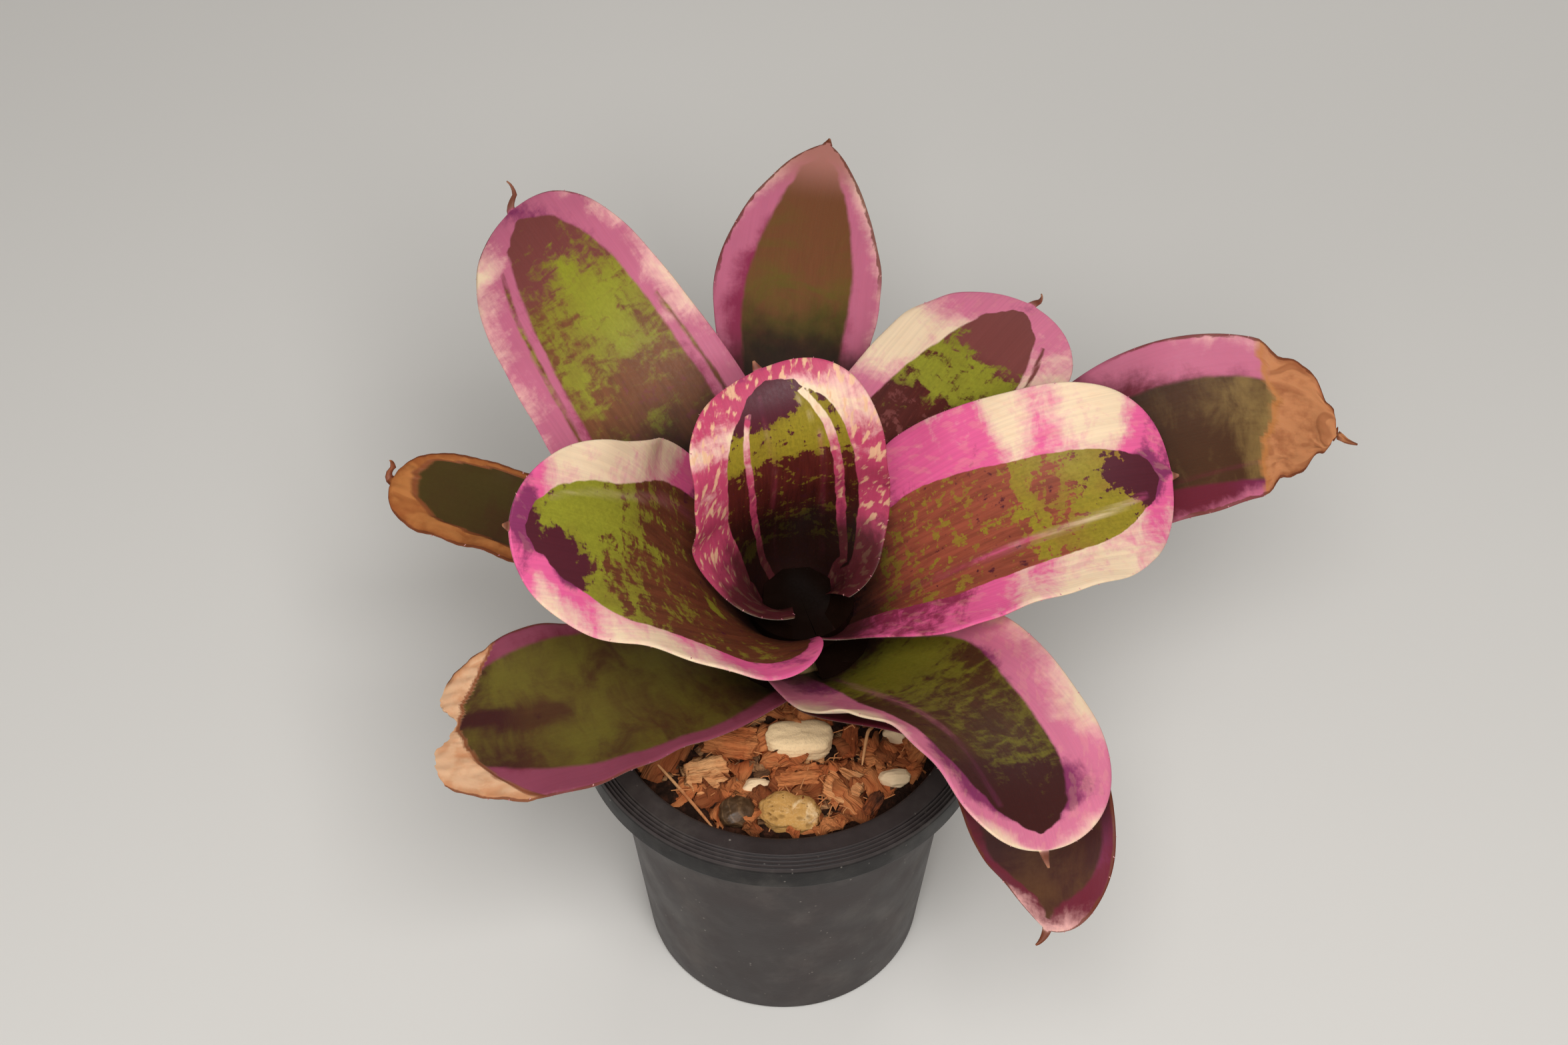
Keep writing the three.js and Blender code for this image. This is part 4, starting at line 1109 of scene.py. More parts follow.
class LeafSkin(Finish):
    """The material of one leaf: margins and stripes, a green centre, and pigment over both."""

    def __init__(self, leaf):
        super().__init__(
            leaf["name"] + "_skin", Specular_IOR_Level=0.18, Coat_Weight=0.03, Coat_Roughness=0.35,
            Subsurface_Weight=0.08, Subsurface_Scale=0.0025,
        )
        self.leaf = leaf
        self.soft = leaf.get("soft", 0.0)
        self.tints = settings("colours")
        own = self.add("ShaderNodeUVMap", uv_map="blade").outputs[0]
        self.place = self.scaled(own, UV_SIZE, UV_SIZE, 1, shift=leaf["ring"] * 3.7)
        self.height = self.add("ShaderNodeSeparateXYZ", {0: self.place}).outputs[1]
        self.fine = self.streaks(1.3, 1.0, 4.0, 0.65)
        self.broad = self.streaks(0.16, 0.12)
        names = ("pale", "faint", "dry", "rim", "under", "red_centre", "red_margin")
        self.mark = {name: self.attribute(name) for name in names}

    def streaks(self, across, along, detail=3.0, rough=0.55):
        """Noise about 0.5 with its own size across and along the leaf."""
        return self.noise(self.scaled(self.place, across, along, 1), 1.0, detail, rough)

    def toward_tip(self, start, end):
        """0 up to one share of the length and 1 past the other."""
        return self.step(start * self.leaf["length"], end * self.leaf["length"], self.height)

    def centre(self):
        """Green under blotches of pigment, with a thin veil of it between them."""
        leaf, level_of_red = self.leaf, self.mark["red_centre"]
        green, wine, _, dense, _ = (getattr(self.tints, name) for name in leaf["paint"])
        crisp = 1 - 0.8 * self.soft
        red = self.group(
            "Mottle", Place=self.place, Level=level_of_red, Size=leaf.get("blotch", 3.6), Blotch=2.1,
            Speck=leaf["specks"], Drip=0.6 * crisp, Edge=0.09 + 0.36 * self.soft,
        )
        veil = self.step(0.05, 0.95, self.varied(level_of_red, self.broad, 1.2))
        lit = self.mix(self.step(0.3, 0.75, self.fine), green, darker(green, 1 - 0.26 * crisp))
        lit = self.mix(self.times(veil, 0.5), lit, wine)
        streak = self.step(0.3, 0.7, self.streaks(0.75, 0.09, 4.0, 0.6))
        pigment = self.mix(streak, darker(wine, 1 - 0.2 * crisp), darker(wine, 1 + 0.28 * crisp))
        heavy = self.math("MAXIMUM", self.toward_tip(0.72, 0.8), self.step(1.02, 1.32, red["Value"]))
        return self.mix(red["Mask"], lit, self.mix(heavy, pigment, dense))

    def margin(self):
        """The pale tissue of margins and stripes, turned from cream to pink and crimson by pigment."""
        leaf, tints = self.leaf, self.tints
        pink, deep = (getattr(tints, leaf["paint"][k]) for k in (2, 4))
        calm = 1 - 0.55 * self.soft
        cloud = self.group(
            "Mottle", Place=self.place, Level=self.mark["red_margin"], Blotch=1.1 * calm, Speck=0.42 * calm,
            Drip=0.16 * calm, Size=6.0, Seed=4.0,
        )["Value"]
        skin = self.mix(self.step(0.1, 0.45, cloud), tints.cream, tints.blush)
        skin = self.mix(self.step(0.34, 0.72, cloud), skin, pink)
        deep = self.mix(self.toward_tip(0.75, 0.9), deep, tints.violet)
        skin = self.mix(self.step(0.9, 1.3, cloud), skin, deep)
        slanted = self.result("ShaderNodeMapping", {"Vector": self.place, "Rotation": (0, 0, 0.5)})
        fleck = self.noise(self.scaled(slanted, 0.62, 0.24, 1), 1.0, 3.0, 0.5)
        inward = self.step(0.3, 1.0, self.mark["pale"], to=(0.3, 1.0))
        shown = self.times(self.step(0.53, 0.63, fleck), inward)
        return self.mix(self.times(shown, leaf["flecks"]), skin, tints.fleck)

    def living(self):
        """Centre and margins together, with veins and a dark stain toward the foot: partly a stain where
        water stands, partly painted shade deep in the rosette.
        """
        mark, centre, margin, stain_shade_height = self.mark, self.centre(), self.margin(), self.leaf["stain_shade_height"]
        streaky = self.times(self.streaks(1.2, 0.12), 2.4, -0.45)
        centre = self.mix(self.times(mark["faint"], streaky), centre, margin)
        border = self.varied(mark["pale"], self.streaks(0.5, 0.2), 1.1)
        outside = self.step(-0.14 - 0.5 * self.soft, 0.2 + 0.5 * self.soft, border)
        skin = self.mix(outside, centre, margin)
        self.vein = self.group("Veins", Place=self.place, Pitch=0.7)["Line"]
        tone = self.step(0.3, 0.7, self.vein, to=(0.93 + 0.04 * self.soft, 1.05 - 0.03 * self.soft))
        grey = self.result("ShaderNodeCombineColor", {0: tone, 1: tone, 2: tone})
        skin = self.mix(1.0, skin, grey, how="MULTIPLY")
        # Darker toward each leaf's foot: partly a water stain, partly painted shade deep in the rosette;
        # the margins are partly spared.
        reach = self.varied(self.height, self.broad, 16.0)
        stain_and_shade = self.step(stain_shade_height + 17, stain_shade_height - 6, reach, to=(0.0, 0.92))
        spared = self.step(stain_shade_height - 8, stain_shade_height + 3, reach, to=(0.0, 0.75))
        dark = self.mix(outside, self.tints.stain_and_shade, self.tints.claret)
        return self.mix(self.times(stain_and_shade, self.rest(self.times(outside, spared))), skin, dark)

    def aged(self, skin):
        """Faded and dry ends with painted shade in their folds, a line where they meet live tissue, and
        burnt edges.
        """
        leaf, tints, mark = self.leaf, self.tints, self.mark
        plain, worn, line = (getattr(tints, name) for name in leaf.get("dried", ("tan", "rust", "bark")))
        self.folds = self.noise(self.scaled(self.place, 0.14, 0.1, 1), 1.0, 1.0, 0.5, 1.2)
        clouded = self.streaks(0.2, 0.16, 4.0, 0.6)
        parched = self.mix(self.step(0.46, 0.72, clouded, to=(0.0, 0.6)), plain, worn)
        # Painted shade: dry tissue darker in the troughs of its folds.
        parched = self.mix(self.step(0.46, 0.36, self.folds, to=(0.0, 0.5)), parched, worn)
        near_rim = self.varied(mark["rim"], self.streaks(0.35, 0.35), 4.0)
        parched = self.mix(self.step(2.6, 0.2, near_rim, to=(0.0, 0.7)), parched, worn)
        if "bleach" in leaf:
            start, end, faded = leaf["bleach"]
            skin = self.mix(self.toward_tip(start, end), skin, getattr(tints, faded))
        scorch = self.times(mark["dry"], self.rest(mark["dry"]))
        skin = self.mix(mark["dry"], skin, parched)
        skin = self.mix(self.times(scorch, 3.6), skin, line)
        if "burnt" not in leaf:
            return skin
        amount, start = leaf["burnt"]
        burn = self.times(self.streaks(0.5, 0.22, 4.0), 3.0, -1.0)
        edge = self.step(0.3, -0.1, self.times(burn, -amount, mark["rim"]), to=(0.0, 0.8))
        return self.mix(self.times(edge, self.toward_tip(start, start + 0.1)), skin, tints.bark)

    def whole(self):
        """The finished material: the upper side, the duller scaly underside, sheen and relief."""
        leaf, tints, mark = self.leaf, self.tints, self.mark
        skin = self.aged(self.living())
        green = getattr(tints, leaf["paint"][0])
        scales = self.group("Scurf", Place=self.place, Amount=0.75)["Mask"]
        dull = self.mix(0.45, skin, self.mix(0.5, green, tints.scurf))
        dull = self.mix(scales, dull, tints.scurf)
        skin = self.mix(self.times(mark["under"], self.rest(mark["dry"])), skin, dull)
        rough = self.step(0.3, 0.7, self.fine, to=(leaf["gloss"] - 0.04, leaf["gloss"] + 0.08))
        matt = self.times(self.math("MAXIMUM", mark["dry"], mark["under"]), 0.75)
        relief = self.times(self.vein, 0.5, self.times(self.noise(self.place, 3.4, 2.0), 0.3))
        relief = self.times(self.times(self.folds, mark["dry"]), 26.0, relief)
        return self.done(skin, self.math("MAXIMUM", rough, matt), relief, 0.0001, 0.6)


def margin_lines():
    """Both margins of every leaf as one edge mesh, with the way out and the way forward at each point."""
    places, edges, outs, ways = [], [], [], []
    for leaf in LEAVES:
        s = np.linspace(*(TOOTHED_GREEN if leaf.get("torn") or "dry" in leaf else TOOTHED))
        section = sections(leaf, s)
        for side in (-1.0, 1.0):
            edge, _ = on_surface(section, np.full_like(s, side))
            inner, _ = on_surface(section, np.full_like(s, side * 0.96))
            first = len(places)
            places += (edge * MM).tolist()
            edges += [(first + k, first + k + 1) for k in range(len(s) - 1)]
            outs += unit(edge - inner).tolist()
            ways += unit(np.gradient(edge, axis=0)).tolist()
    mesh = bpy.data.meshes.new("margins")
    mesh.from_pydata(places, edges, [])
    point_values(mesh, "out", outs)
    point_values(mesh, "way", ways)
    return mesh


# ---- geometry node trees ----

def geometry_tree(name, **inputs):
    """A Geometry Nodes tree with named inputs after the geometry."""
    geometry = {"Geometry": "geometry"}
    return new_tree(name, "GeometryNodeTree", {**geometry, **inputs}, geometry)


def run_tree(thing, wires, values, name):
    """Runs a tree on an object with its inputs set, and returns the result as a plain object."""
    modifier = thing.modifiers.new("nodes", "NODES")
    modifier.node_group = wires.tree
    for socket in wires.tree.interface.items_tree:
        if socket.in_out == "INPUT" and socket.name in values:
            modifier[socket.identifier] = values[socket.name]
    thing.update_tag()
    return plain_mesh(thing, name)


def random_between(wires, low, high, seed, kind="FLOAT"):
    """A random value for each point."""
    keys = {"FLOAT": (2, 3, 1), "FLOAT_VECTOR": (0, 1, 0)}[kind]
    node = wires.add("FunctionNodeRandomValue", {keys[0]: low, keys[1]: high, "Seed": seed}, data_type=kind)
    return node.outputs[keys[2]]


def end_tree(wires, geometry, material, out):
    """Ends a tree in real geometry with its material."""
    real = wires.result("GeometryNodeRealizeInstances", {0: geometry})
    rounded = wires.result("GeometryNodeSetShadeSmooth", {0: real})
    finished = wires.result("GeometryNodeSetMaterial", {"Geometry": rounded, "Material": material})
    wires.fill(out, {0: finished})


def placed(wires, points, thing, turn, scale):
    """A copy of a thing at each point."""
    inputs = {"Points": points, "Instance": thing, "Rotation": turn, "Scale": scale}
    return wires.result("GeometryNodeInstanceOnPoints", inputs)


def scattered(wires, given):
    """Random points on the surface."""
    inputs = {"Mesh": given["Geometry"], "Density": given["Count"], "Seed": given["Seed"]}
    return wires.result("GeometryNodeDistributePointsOnFaces", inputs)


def shaken(wires, copies, grain, size, lift):
    """Copies made real, with their points pushed about by noise."""
    real = wires.result("GeometryNodeRealizeInstances", {0: copies})
    here = wires.result("GeometryNodeInputPosition")
    noise = wires.add("ShaderNodeTexNoise", {"Vector": here, "Scale": grain, "Detail": 2.0}).outputs[1]
    push = wires.scale(wires.vector("SUBTRACT", noise, (0.5, 0.5, 0.5)), size)
    offset = wires.vector("ADD", push, wires.xyz(z=lift))
    return wires.result("GeometryNodeSetPosition", {"Geometry": real, "Offset": offset})


def spine_tree():
    """Small spines, one every pitch along each margin, leaning forward."""
    wires, given, out = geometry_tree(
        "Marginal spines", Length="length", Pitch="length", Seed="whole", Material="material"
    )
    line = wires.result("GeometryNodeMeshToCurve", {0: given["Geometry"]})
    spaced = wires.result("GeometryNodeResampleCurve", {0: line, "Length": given["Pitch"]}, mode="LENGTH")
    way, side = (
        wires.result("GeometryNodeInputNamedAttribute", {0: name}, data_type="FLOAT_VECTOR")
        for name in ("way", "out")
    )
    aim = wires.vector("ADD", side, wires.scale(way, 0.75))
    turn = wires.result("FunctionNodeAlignRotationToVector", {"Vector": aim}, axis="Z")
    width = wires.times(given["Length"], 0.3)
    shape = {"Vertices": 6, "Side Segments": 3, "Radius Top": 0.0, "Radius Bottom": width}
    cone = wires.result("GeometryNodeMeshCone", {**shape, "Depth": given["Length"]})
    sunk = wires.xyz(z=wires.times(given["Length"], -0.28))
    seated = wires.result("GeometryNodeTransform", {"Geometry": cone, "Translation": sunk})
    size = random_between(wires, 0.55, 1.15, given["Seed"])
    end_tree(wires, placed(wires, spaced, seated, turn, size), given["Material"], out)
    return wires


def scatter_tree(name, cuts):
    """Ragged chips scattered over a surface; cuts is how finely a chip is divided."""
    wires, given, out = geometry_tree(
        name, Size="length", Count="value", Tilt="value", Sink="length", Seed="whole", Material="material"
    )
    flat = wires.scale((1, 0.6, 0.34), given["Size"])
    cuts = {"Vertices X": cuts + 2, "Vertices Y": cuts + 1, "Vertices Z": 3}
    block = wires.result("GeometryNodeMeshCube", {"Size": flat, **cuts})
    own = wires.result("GeometryNodeInputPosition")
    grain = {"Geometry": block, "Name": "grain", "Value": own}
    block = wires.result("GeometryNodeStoreNamedAttribute", grain, data_type="FLOAT_VECTOR", domain="POINT")
    tilt = wires.times(given["Tilt"], -1.0)
    low = wires.xyz(tilt, tilt)
    high = wires.xyz(given["Tilt"], given["Tilt"], math.tau)
    seeds = [wires.math("ADD", given["Seed"], k) for k in (1, 2, 3)]
    turn = random_between(wires, low, high, seeds[0], "FLOAT_VECTOR")
    scale = random_between(wires, (0.5, 0.5, 0.5), (1.3, 1.3, 1.3), seeds[1], "FLOAT_VECTOR")
    chips = placed(wires, scattered(wires, given), block, turn, scale)
    # Some chips darker at random, as painted shade of chips lying deeper in the bed.
    damp = {"Geometry": chips, "Name": "damp", "Value": random_between(wires, 0.0, 1.0, seeds[2])}
    chips = wires.result("GeometryNodeStoreNamedAttribute", damp, data_type="FLOAT", domain="INSTANCE")
    push = wires.times(given["Size"], 0.85)
    ragged = shaken(wires, chips, 260.0, push, wires.times(given["Sink"], -1.0))
    end_tree(wires, ragged, given["Material"], out)
    return wires


def fibre_tree():
    """Fine bent fibres lying over a surface."""
    wires, given, out = geometry_tree(
        "Loose fibres", Length="length", Radius="length", Count="value", Seed="whole", Material="material"
    )
    start, end, bow, rise, push, lift = (
        wires.times(given["Length"], share) for share in (-0.5, 0.5, 0.3, 0.1, 0.3, 0.03)
    )
    ends = {"Start": wires.xyz(start), "Middle": wires.xyz(0.0, bow, rise), "End": wires.xyz(end)}
    arc = wires.result("GeometryNodeCurveQuadraticBezier", {"Resolution": 7, **ends})
    turn = random_between(wires, (-0.25, -0.25, 0), (0.25, 0.25, math.tau), given["Seed"], "FLOAT_VECTOR")
    seed = wires.math("ADD", given["Seed"], 1)
    scale = random_between(wires, (0.35, -1.0, 0.2), (1.2, 1.2, 1.0), seed, "FLOAT_VECTOR")
    bent = shaken(wires, placed(wires, scattered(wires, given), arc, turn, scale), 180.0, push, lift)
    circle = {"Resolution": 5, "Radius": given["Radius"]}
    ring = wires.result("GeometryNodeCurvePrimitiveCircle", circle, mode="RADIUS")
    tube = {"Curve": bent, "Profile Curve": ring, "Fill Caps": True}
    end_tree(wires, wires.result("GeometryNodeCurveToMesh", tube), given["Material"], out)
    return wires


# ---- pot, mix, stones ----


def softened(outline, radius=0.5, steps=4):
    """An outline with each corner replaced by a small round one."""
    soft = [outline[0]]
    for before, here, after in zip(outline, outline[1:], outline[2:]):
        before, here, after = (np.array(v, float) for v in (before, here, after))
        reach = min(radius, np.linalg.norm(here - before) * 0.45, np.linalg.norm(after - here) * 0.45)
        start = here + unit(before - here) * reach
        end = here + unit(after - here) * reach
        for t in np.linspace(0, 1, steps):
            soft.append(tuple((1 - t) ** 2 * start + 2 * t * (1 - t) * here + t * t * end))
    return soft + [outline[-1]]


def lathe(name, outline, segments, centre=(0, 0)):
    """A closed turned shape from an outline that starts and ends on the axis, going anticlockwise."""
    ring = np.arange(segments) * math.tau / segments
    inner = outline[1:-1]
    x, y = centre
    places = [(x + r * math.cos(a), y + r * math.sin(a), z) for r, z in inner for a in ring.tolist()]
    index, faces = tube_faces(len(inner), segments)
    low, high = len(places), len(places) + 1
    places += [(*centre, outline[0][1]), (*centre, outline[-1][1])]
    for k in range(segments):
        faces.append((low, index[0, k], index[0, k - 1]))
        faces.append((high, index[-1, k - 1], index[-1, k]))
    return mesh_of(name, places, faces)


LIP = 0.12  # how far the lip's upper edge is drawn in, mm
RIB_STEPS = 8  # steps over one rib


def rim_outline(pot):
    """The rim from the lip in: ribs that climb to the smooth band, and the mouth's rounded edge."""
    pitch = (RIM_RADIUS - pot.band) / pot.ribs
    outline = []
    for k in range(pot.ribs * RIB_STEPS):
        radius = RIM_RADIUS - LIP - k * pitch / RIB_STEPS
        slope = RIM_HEIGHT - pot.drop * (radius - pot.band) / (RIM_RADIUS - pot.band)
        crest = pot.rib_height * (0.5 - 0.5 * math.cos(k * math.tau / RIB_STEPS)) ** 0.7
        outline.append((radius, min(slope + crest, RIM_HEIGHT)))
    outline += [(pot.band - 0.6, RIM_HEIGHT - 0.06), (pot.band - 2.4, RIM_HEIGHT)]
    outline += [(pot.mouth + 1.0, RIM_HEIGHT - 0.12), (pot.mouth + 0.3, RIM_HEIGHT - 0.4)]
    outline += [(pot.mouth, RIM_HEIGHT - 1)]
    return outline


def pot_outline(pot):
    """Half the pot's section, from the middle of the foot out, up and back in."""
    neck = RIM_HEIGHT - pot.collar
    body = pot.mouth + pot.wall - 0.2
    shelf = RIM_HEIGHT - pot.drop - pot.wall
    outside = [
        (0, 0),
        (pot.foot - 0.8, 0),
        (pot.foot, 0.8),
        (body, neck),
        (body + 0.4, shelf),
        (RIM_RADIUS - pot.wall - 0.6, shelf),
        (RIM_RADIUS - pot.wall, neck),
        (RIM_RADIUS, neck),
        (RIM_RADIUS, RIM_HEIGHT - pot.drop - 0.3),
        (RIM_RADIUS - LIP, RIM_HEIGHT - pot.drop),
    ]
    inside = [
        (pot.mouth - 0.2, neck),
        (pot.foot - pot.wall, pot.base + 1),
        (pot.foot - 3, pot.base),
        (0, pot.base),
    ]
    return softened(outside, 0.45) + rim_outline(pot)[1:] + softened(inside, 0.8)[1:]


def plastic_material():
    """Matt moulded plastic with turning lines, scuffs and dust, and painted shade in the grooves between
    the ribs.
    """
    pot = settings("pot")
    wires = Finish("moulded_plastic", Specular_IOR_Level=0.3)
    place = wires.object_place()
    parts = wires.add("ShaderNodeSeparateXYZ", {0: place}).outputs
    level = {0: wires.xyz(parts[0], parts[1])}
    radius = wires.add("ShaderNodeVectorMath", level, operation="LENGTH").outputs["Value"]
    turning = wires.noise(wires.xyz(radius, parts[2]), 2600, 2.0)
    cloud = wires.noise(place, 70, 5.0, 0.6)
    dust = wires.group("Dust", Place=place, Amount=0.55, Size=1.0)["Mask"]
    skin = wires.mix(wires.step(0.4, 0.75, cloud), pot.plastic, darker(pot.plastic, 1.5))
    turns = math.tau * pot.ribs / (RIM_RADIUS - pot.band) / MM
    inward = wires.math("SUBTRACT", RIM_RADIUS * MM, radius)
    # Painted shade: the grooves between the rim's ribs are painted dark.
    groove_shade = wires.math("COSINE", wires.times(inward, turns))
    on_ribs = wires.times(wires.step(pot.band * MM, (pot.band + 0.3) * MM, radius), pot.groove_shade)
    groove_shade = wires.times(wires.step(-0.3, 0.6, groove_shade), on_ribs)
    skin = wires.mix(groove_shade, skin, darker(pot.plastic, 0.1))
    skin = wires.mix(dust, skin, pot.dust)
    rough = wires.step(0.3, 0.8, cloud, to=(0.42, 0.62))
    relief = wires.times(turning, 0.5, wires.noise(place, 3200, 2.0))
    return wires.done(skin, rough, relief, 0.00003)


def mix_height(x, y):
    """Height of the mix, as in the solid: level at the wall and mounded round the stem."""
    mix, plant = settings("mix"), settings("plant")
    mound = np.exp(-((np.hypot(x - plant.x, y - plant.y) / mix.mound_radius) ** 2))
    lumps = np.sin(0.83 * x + 1.3) * np.cos(0.71 * y) + 0.6 * np.sin(0.37 * x - 0.52 * y)
    return RIM_HEIGHT - mix.below + mix.mound * mound + mix.bump * lumps


def mix_surface(reach, rings, segments):
    """Places and faces of the mix's top, ring by ring from the middle."""
    radius = np.linspace(0, reach, rings + 1)[1:]
    angle = np.arange(segments) * math.tau / segments
    x = (radius[:, None] * np.cos(angle)).ravel()
    y = (radius[:, None] * np.sin(angle)).ravel()
    x, y = np.append(x, 0.0), np.append(y, 0.0)
    z = mix_height(x, y) + 0.35 * swell(x, y, 6, 31, 5) + 0.22 * swell(x, y, 2.4, 33, 4)
    wall = settings("pot").mouth
    z = z - 1.1 * smooth(wall - 5, wall - 1.5, np.hypot(x, y))
    faces = []
    middle = rings * segments
    for k in range(segments):
        n = (k + 1) % segments
        faces.append((middle, k, n))
        for i in range(rings - 1):
            a, b = i * segments, (i + 1) * segments
            faces.append((a + k, b + k, b + n, a + n))
    return np.stack([x, y, z], -1), faces


GAP = 0.6  # between the mix and the pot's wall, mm


def mix_mesh(pot):
    """The closed body of the mix."""
    rings, segments = 60, 144
    top, faces = mix_surface(pot.mouth - GAP, rings, segments)
    neck = (pot.mouth - GAP - 0.15, RIM_HEIGHT - pot.collar - 0.4)
    base = (pot.foot - pot.wall - GAP, pot.base + 2 * GAP)
    angle = np.arange(segments) * math.tau / segments
    places = top.tolist()
    above = (rings - 1) * segments
    for radius, height in (neck, base):
        first = len(places)
        places += [(radius * math.cos(a), radius * math.sin(a), height) for a in angle.tolist()]
        for k in range(segments):
            n = (k + 1) % segments
            faces.append((above + k, first + k, first + n, above + n))
        above = first
    faces.append(tuple(above + k for k in reversed(range(segments))))
    return mesh_of("potting_mix", places, faces)


def husk_material(name, light, dark, seed=0.0):
    """Coconut husk: ragged fibres along the piece, pale where worn, with painted shade where its fibre
    relief is low and on some chips at random.
    """
    wires = Finish(name, Specular_IOR_Level=0.25)
    grain = wires.group("Fibre grain", Place=wires.attribute("grain", "Vector"), Seed=seed)
    patch = wires.noise(wires.object_place(), 130, 3.0, 0.6)
    skin = wires.mix(wires.step(0.42, 0.62, grain["Streak"]), dark, light)
    skin = wires.mix(wires.step(0.4, 0.7, patch, to=(0.0, 0.75)), skin, darker(dark, 1.25))
    # Painted shade: darker where the fibre relief is low, in the furrows.
    skin = wires.mix(wires.step(0.44, 0.36, grain["Relief"], to=(0.0, 0.8)), skin, darker(dark, 0.3))
    # Painted shade: chips marked at random are darkened as if lying deeper in the bed.
    damp = wires.step(0.35, 1.0, wires.attribute("damp"), to=(0.0, 0.8))
    skin = wires.mix(damp, skin, darker(dark, 0.45))
    relief = wires.times(patch, 0.5, grain["Relief"])
    return wires.done(skin, 0.85, relief, 0.0014)


def mix_material():
    """Dark fine mix between the chips: dark humus, darkened further as painted shade of the gaps."""
    mix = settings("mix")
    wires = Finish("fine_mix", Specular_IOR_Level=0.2)
    place = wires.object_place()
    coarse = wires.noise(place, 300, 5.0, 0.7)
    skin = wires.mix(wires.step(0.45, 0.7, coarse), mix.humus_and_shade, mix.bark)
    skin = wires.mix(wires.step(0.7, 0.9, coarse), skin, mix.husk_red)
    relief = wires.times(coarse, 1.4, wires.times(wires.cells(place, 620), -0.8))
    return wires.done(skin, 0.92, relief, 0.0009)


# Stones: place from the pot's axis, size, turn, the seed that shapes them and how boxy they are.
STONES = [
    ("stone_cream", (3.8, -11.4), (15.8, 9.4, 7.5), 4, 3, 3.4),
    ("stone_pitted", (1.6, -31), (14.6, 10, 7.5), -10, 5, 2.5),
    ("stone_white_left", (-6.6, -23.2), (7.4, 4.6, 4.2), 14, 7, 2),
    ("stone_white_right", (27.2, -8.4), (6.4, 5.2, 4.4), -30, 9, 2),
    ("stone_white_front", (26.6, -21.2), (8, 4.8, 4.4), 8, 13, 2),
    ("pebble_striped", (-11.2, -30.8), (8.6, 8, 5.5), 35, 17, 2),
]
STONE_RISE = 0.22


def stone_mesh(name, at, size, yaw, seed, block):
    """A worn stone: dented by slow waves, chipped flat in places or pitted, and roughened finely."""
    draw = seeded(seed)
    phases = [next(draw) * math.tau for _ in range(6)]
    bm = bmesh.new()
    bmesh.ops.create_icosphere(bm, subdivisions=5, radius=1)
    ways = unit(np.array([v.co[:] for v in bm.verts]))
    x, y, z = ways.T
    reach = 1 + 0.08 * np.sin(3.1 * x + phases[0]) * np.sin(2.7 * y + phases[1])
    reach += 0.05 * np.sin(5.3 * z + phases[2]) * np.sin(4.9 * x + phases[3])
    reach += 0.03 * np.sin(8.1 * y + phases[4]) * np.sin(7.3 * z + phases[5])
    boxy = (np.abs(ways) ** block).sum(1) ** (-1 / block)
    if name != "pebble_striped":
        for _ in range(11):
            facing = unit(np.array([next(draw) - 0.5 for _ in range(3)]))
            flat = (0.84 + 0.12 * next(draw)) / np.maximum(ways @ facing, 0.05)
            reach = np.where(flat < reach, flat * 0.8 + reach * 0.2, reach)
    reach = 1 + (reach - 1) * 2 / block
    pits = np.zeros(len(ways))
    if name == "stone_pitted":
        reach = 1 + 0.6 * (reach - 1) - 0.16 * np.exp(-(((x - 0.1) / 0.22) ** 2))
        reach += 0.05 * swell(x * 10, y * 7 + z * 9, 8, 5)
        for _ in range(60):
            spot = unit(np.array([next(draw) - 0.5 for _ in range(3)]))
            wide = 0.05 + 0.11 * next(draw) ** 2
            pits = np.maximum(pits, smooth(wide, wide * 0.35, np.linalg.norm(ways - spot, axis=1)))
    rough = swell(x * 10 + seed, y * 10 + z * 13, 3.4, seed, 5)
    rough = rough + swell(z * 12 - x * 7, y * 9, 3.9, seed + 1, 5)
    reach += 0.018 * rough - 0.09 * pits
    body = ways * (reach * boxy)[:, None] * np.array(size) / 2
    turn = math.radians(yaw)
    rise = mix_height(*at) + size[2] * STONE_RISE
    across = body[:, 0] * math.cos(turn) - body[:, 1] * math.sin(turn) + at[0]
    along = body[:, 0] * math.sin(turn) + body[:, 1] * math.cos(turn) + at[1]
    for vert, place in zip(bm.verts, np.stack([across, along, body[:, 2] + rise], -1) * MM):
        vert.co = place
    mesh = mesh_from(bm, name)
    mesh.shade_smooth()
    point_values(mesh, "pit", pits)
    return mesh


def stone_material(name, base, second, share, pits=None):
    """Rough mineral with grains and clouds of a second colour, and pits if they have a colour."""
    wires = Finish(name, Specular_IOR_Level=0.3)
    place = wires.object_place()
    cloud = wires.noise(place, 150, 5.0, 0.6, 0.4)
    grains = wires.noise(place, 2200, 3.0, 0.7)
    skin = wires.mix(wires.step(0.66 - 0.25 * share, 0.82 - 0.25 * share, cloud), base, second)
    skin = wires.mix(wires.step(0.45, 0.75, grains, to=(0.0, 0.25)), skin, second)
    relief = wires.times(grains, 0.25, wires.times(cloud, 0.8))
    if pits:
        pores = wires.step(0.3, 0.12, wires.cells(place, 900))
        shown = wires.times(pores, wires.step(0.48, 0.6, wires.noise(place, 400, 2.0)))
        dark = wires.math("MAXIMUM", wires.times(wires.attribute("pit"), 0.8), wires.times(shown, 0.5))
        skin = wires.mix(dark, skin, pits)
        relief = wires.times(shown, -0.4, relief)
    dust = wires.group("Dust", Place=place, Amount=0.2, Size=1.8)["Mask"]
    skin = wires.mix(dust, skin, settings("mix").husk_red)
    return wires.done(skin, 0.8, relief, 0.0005)


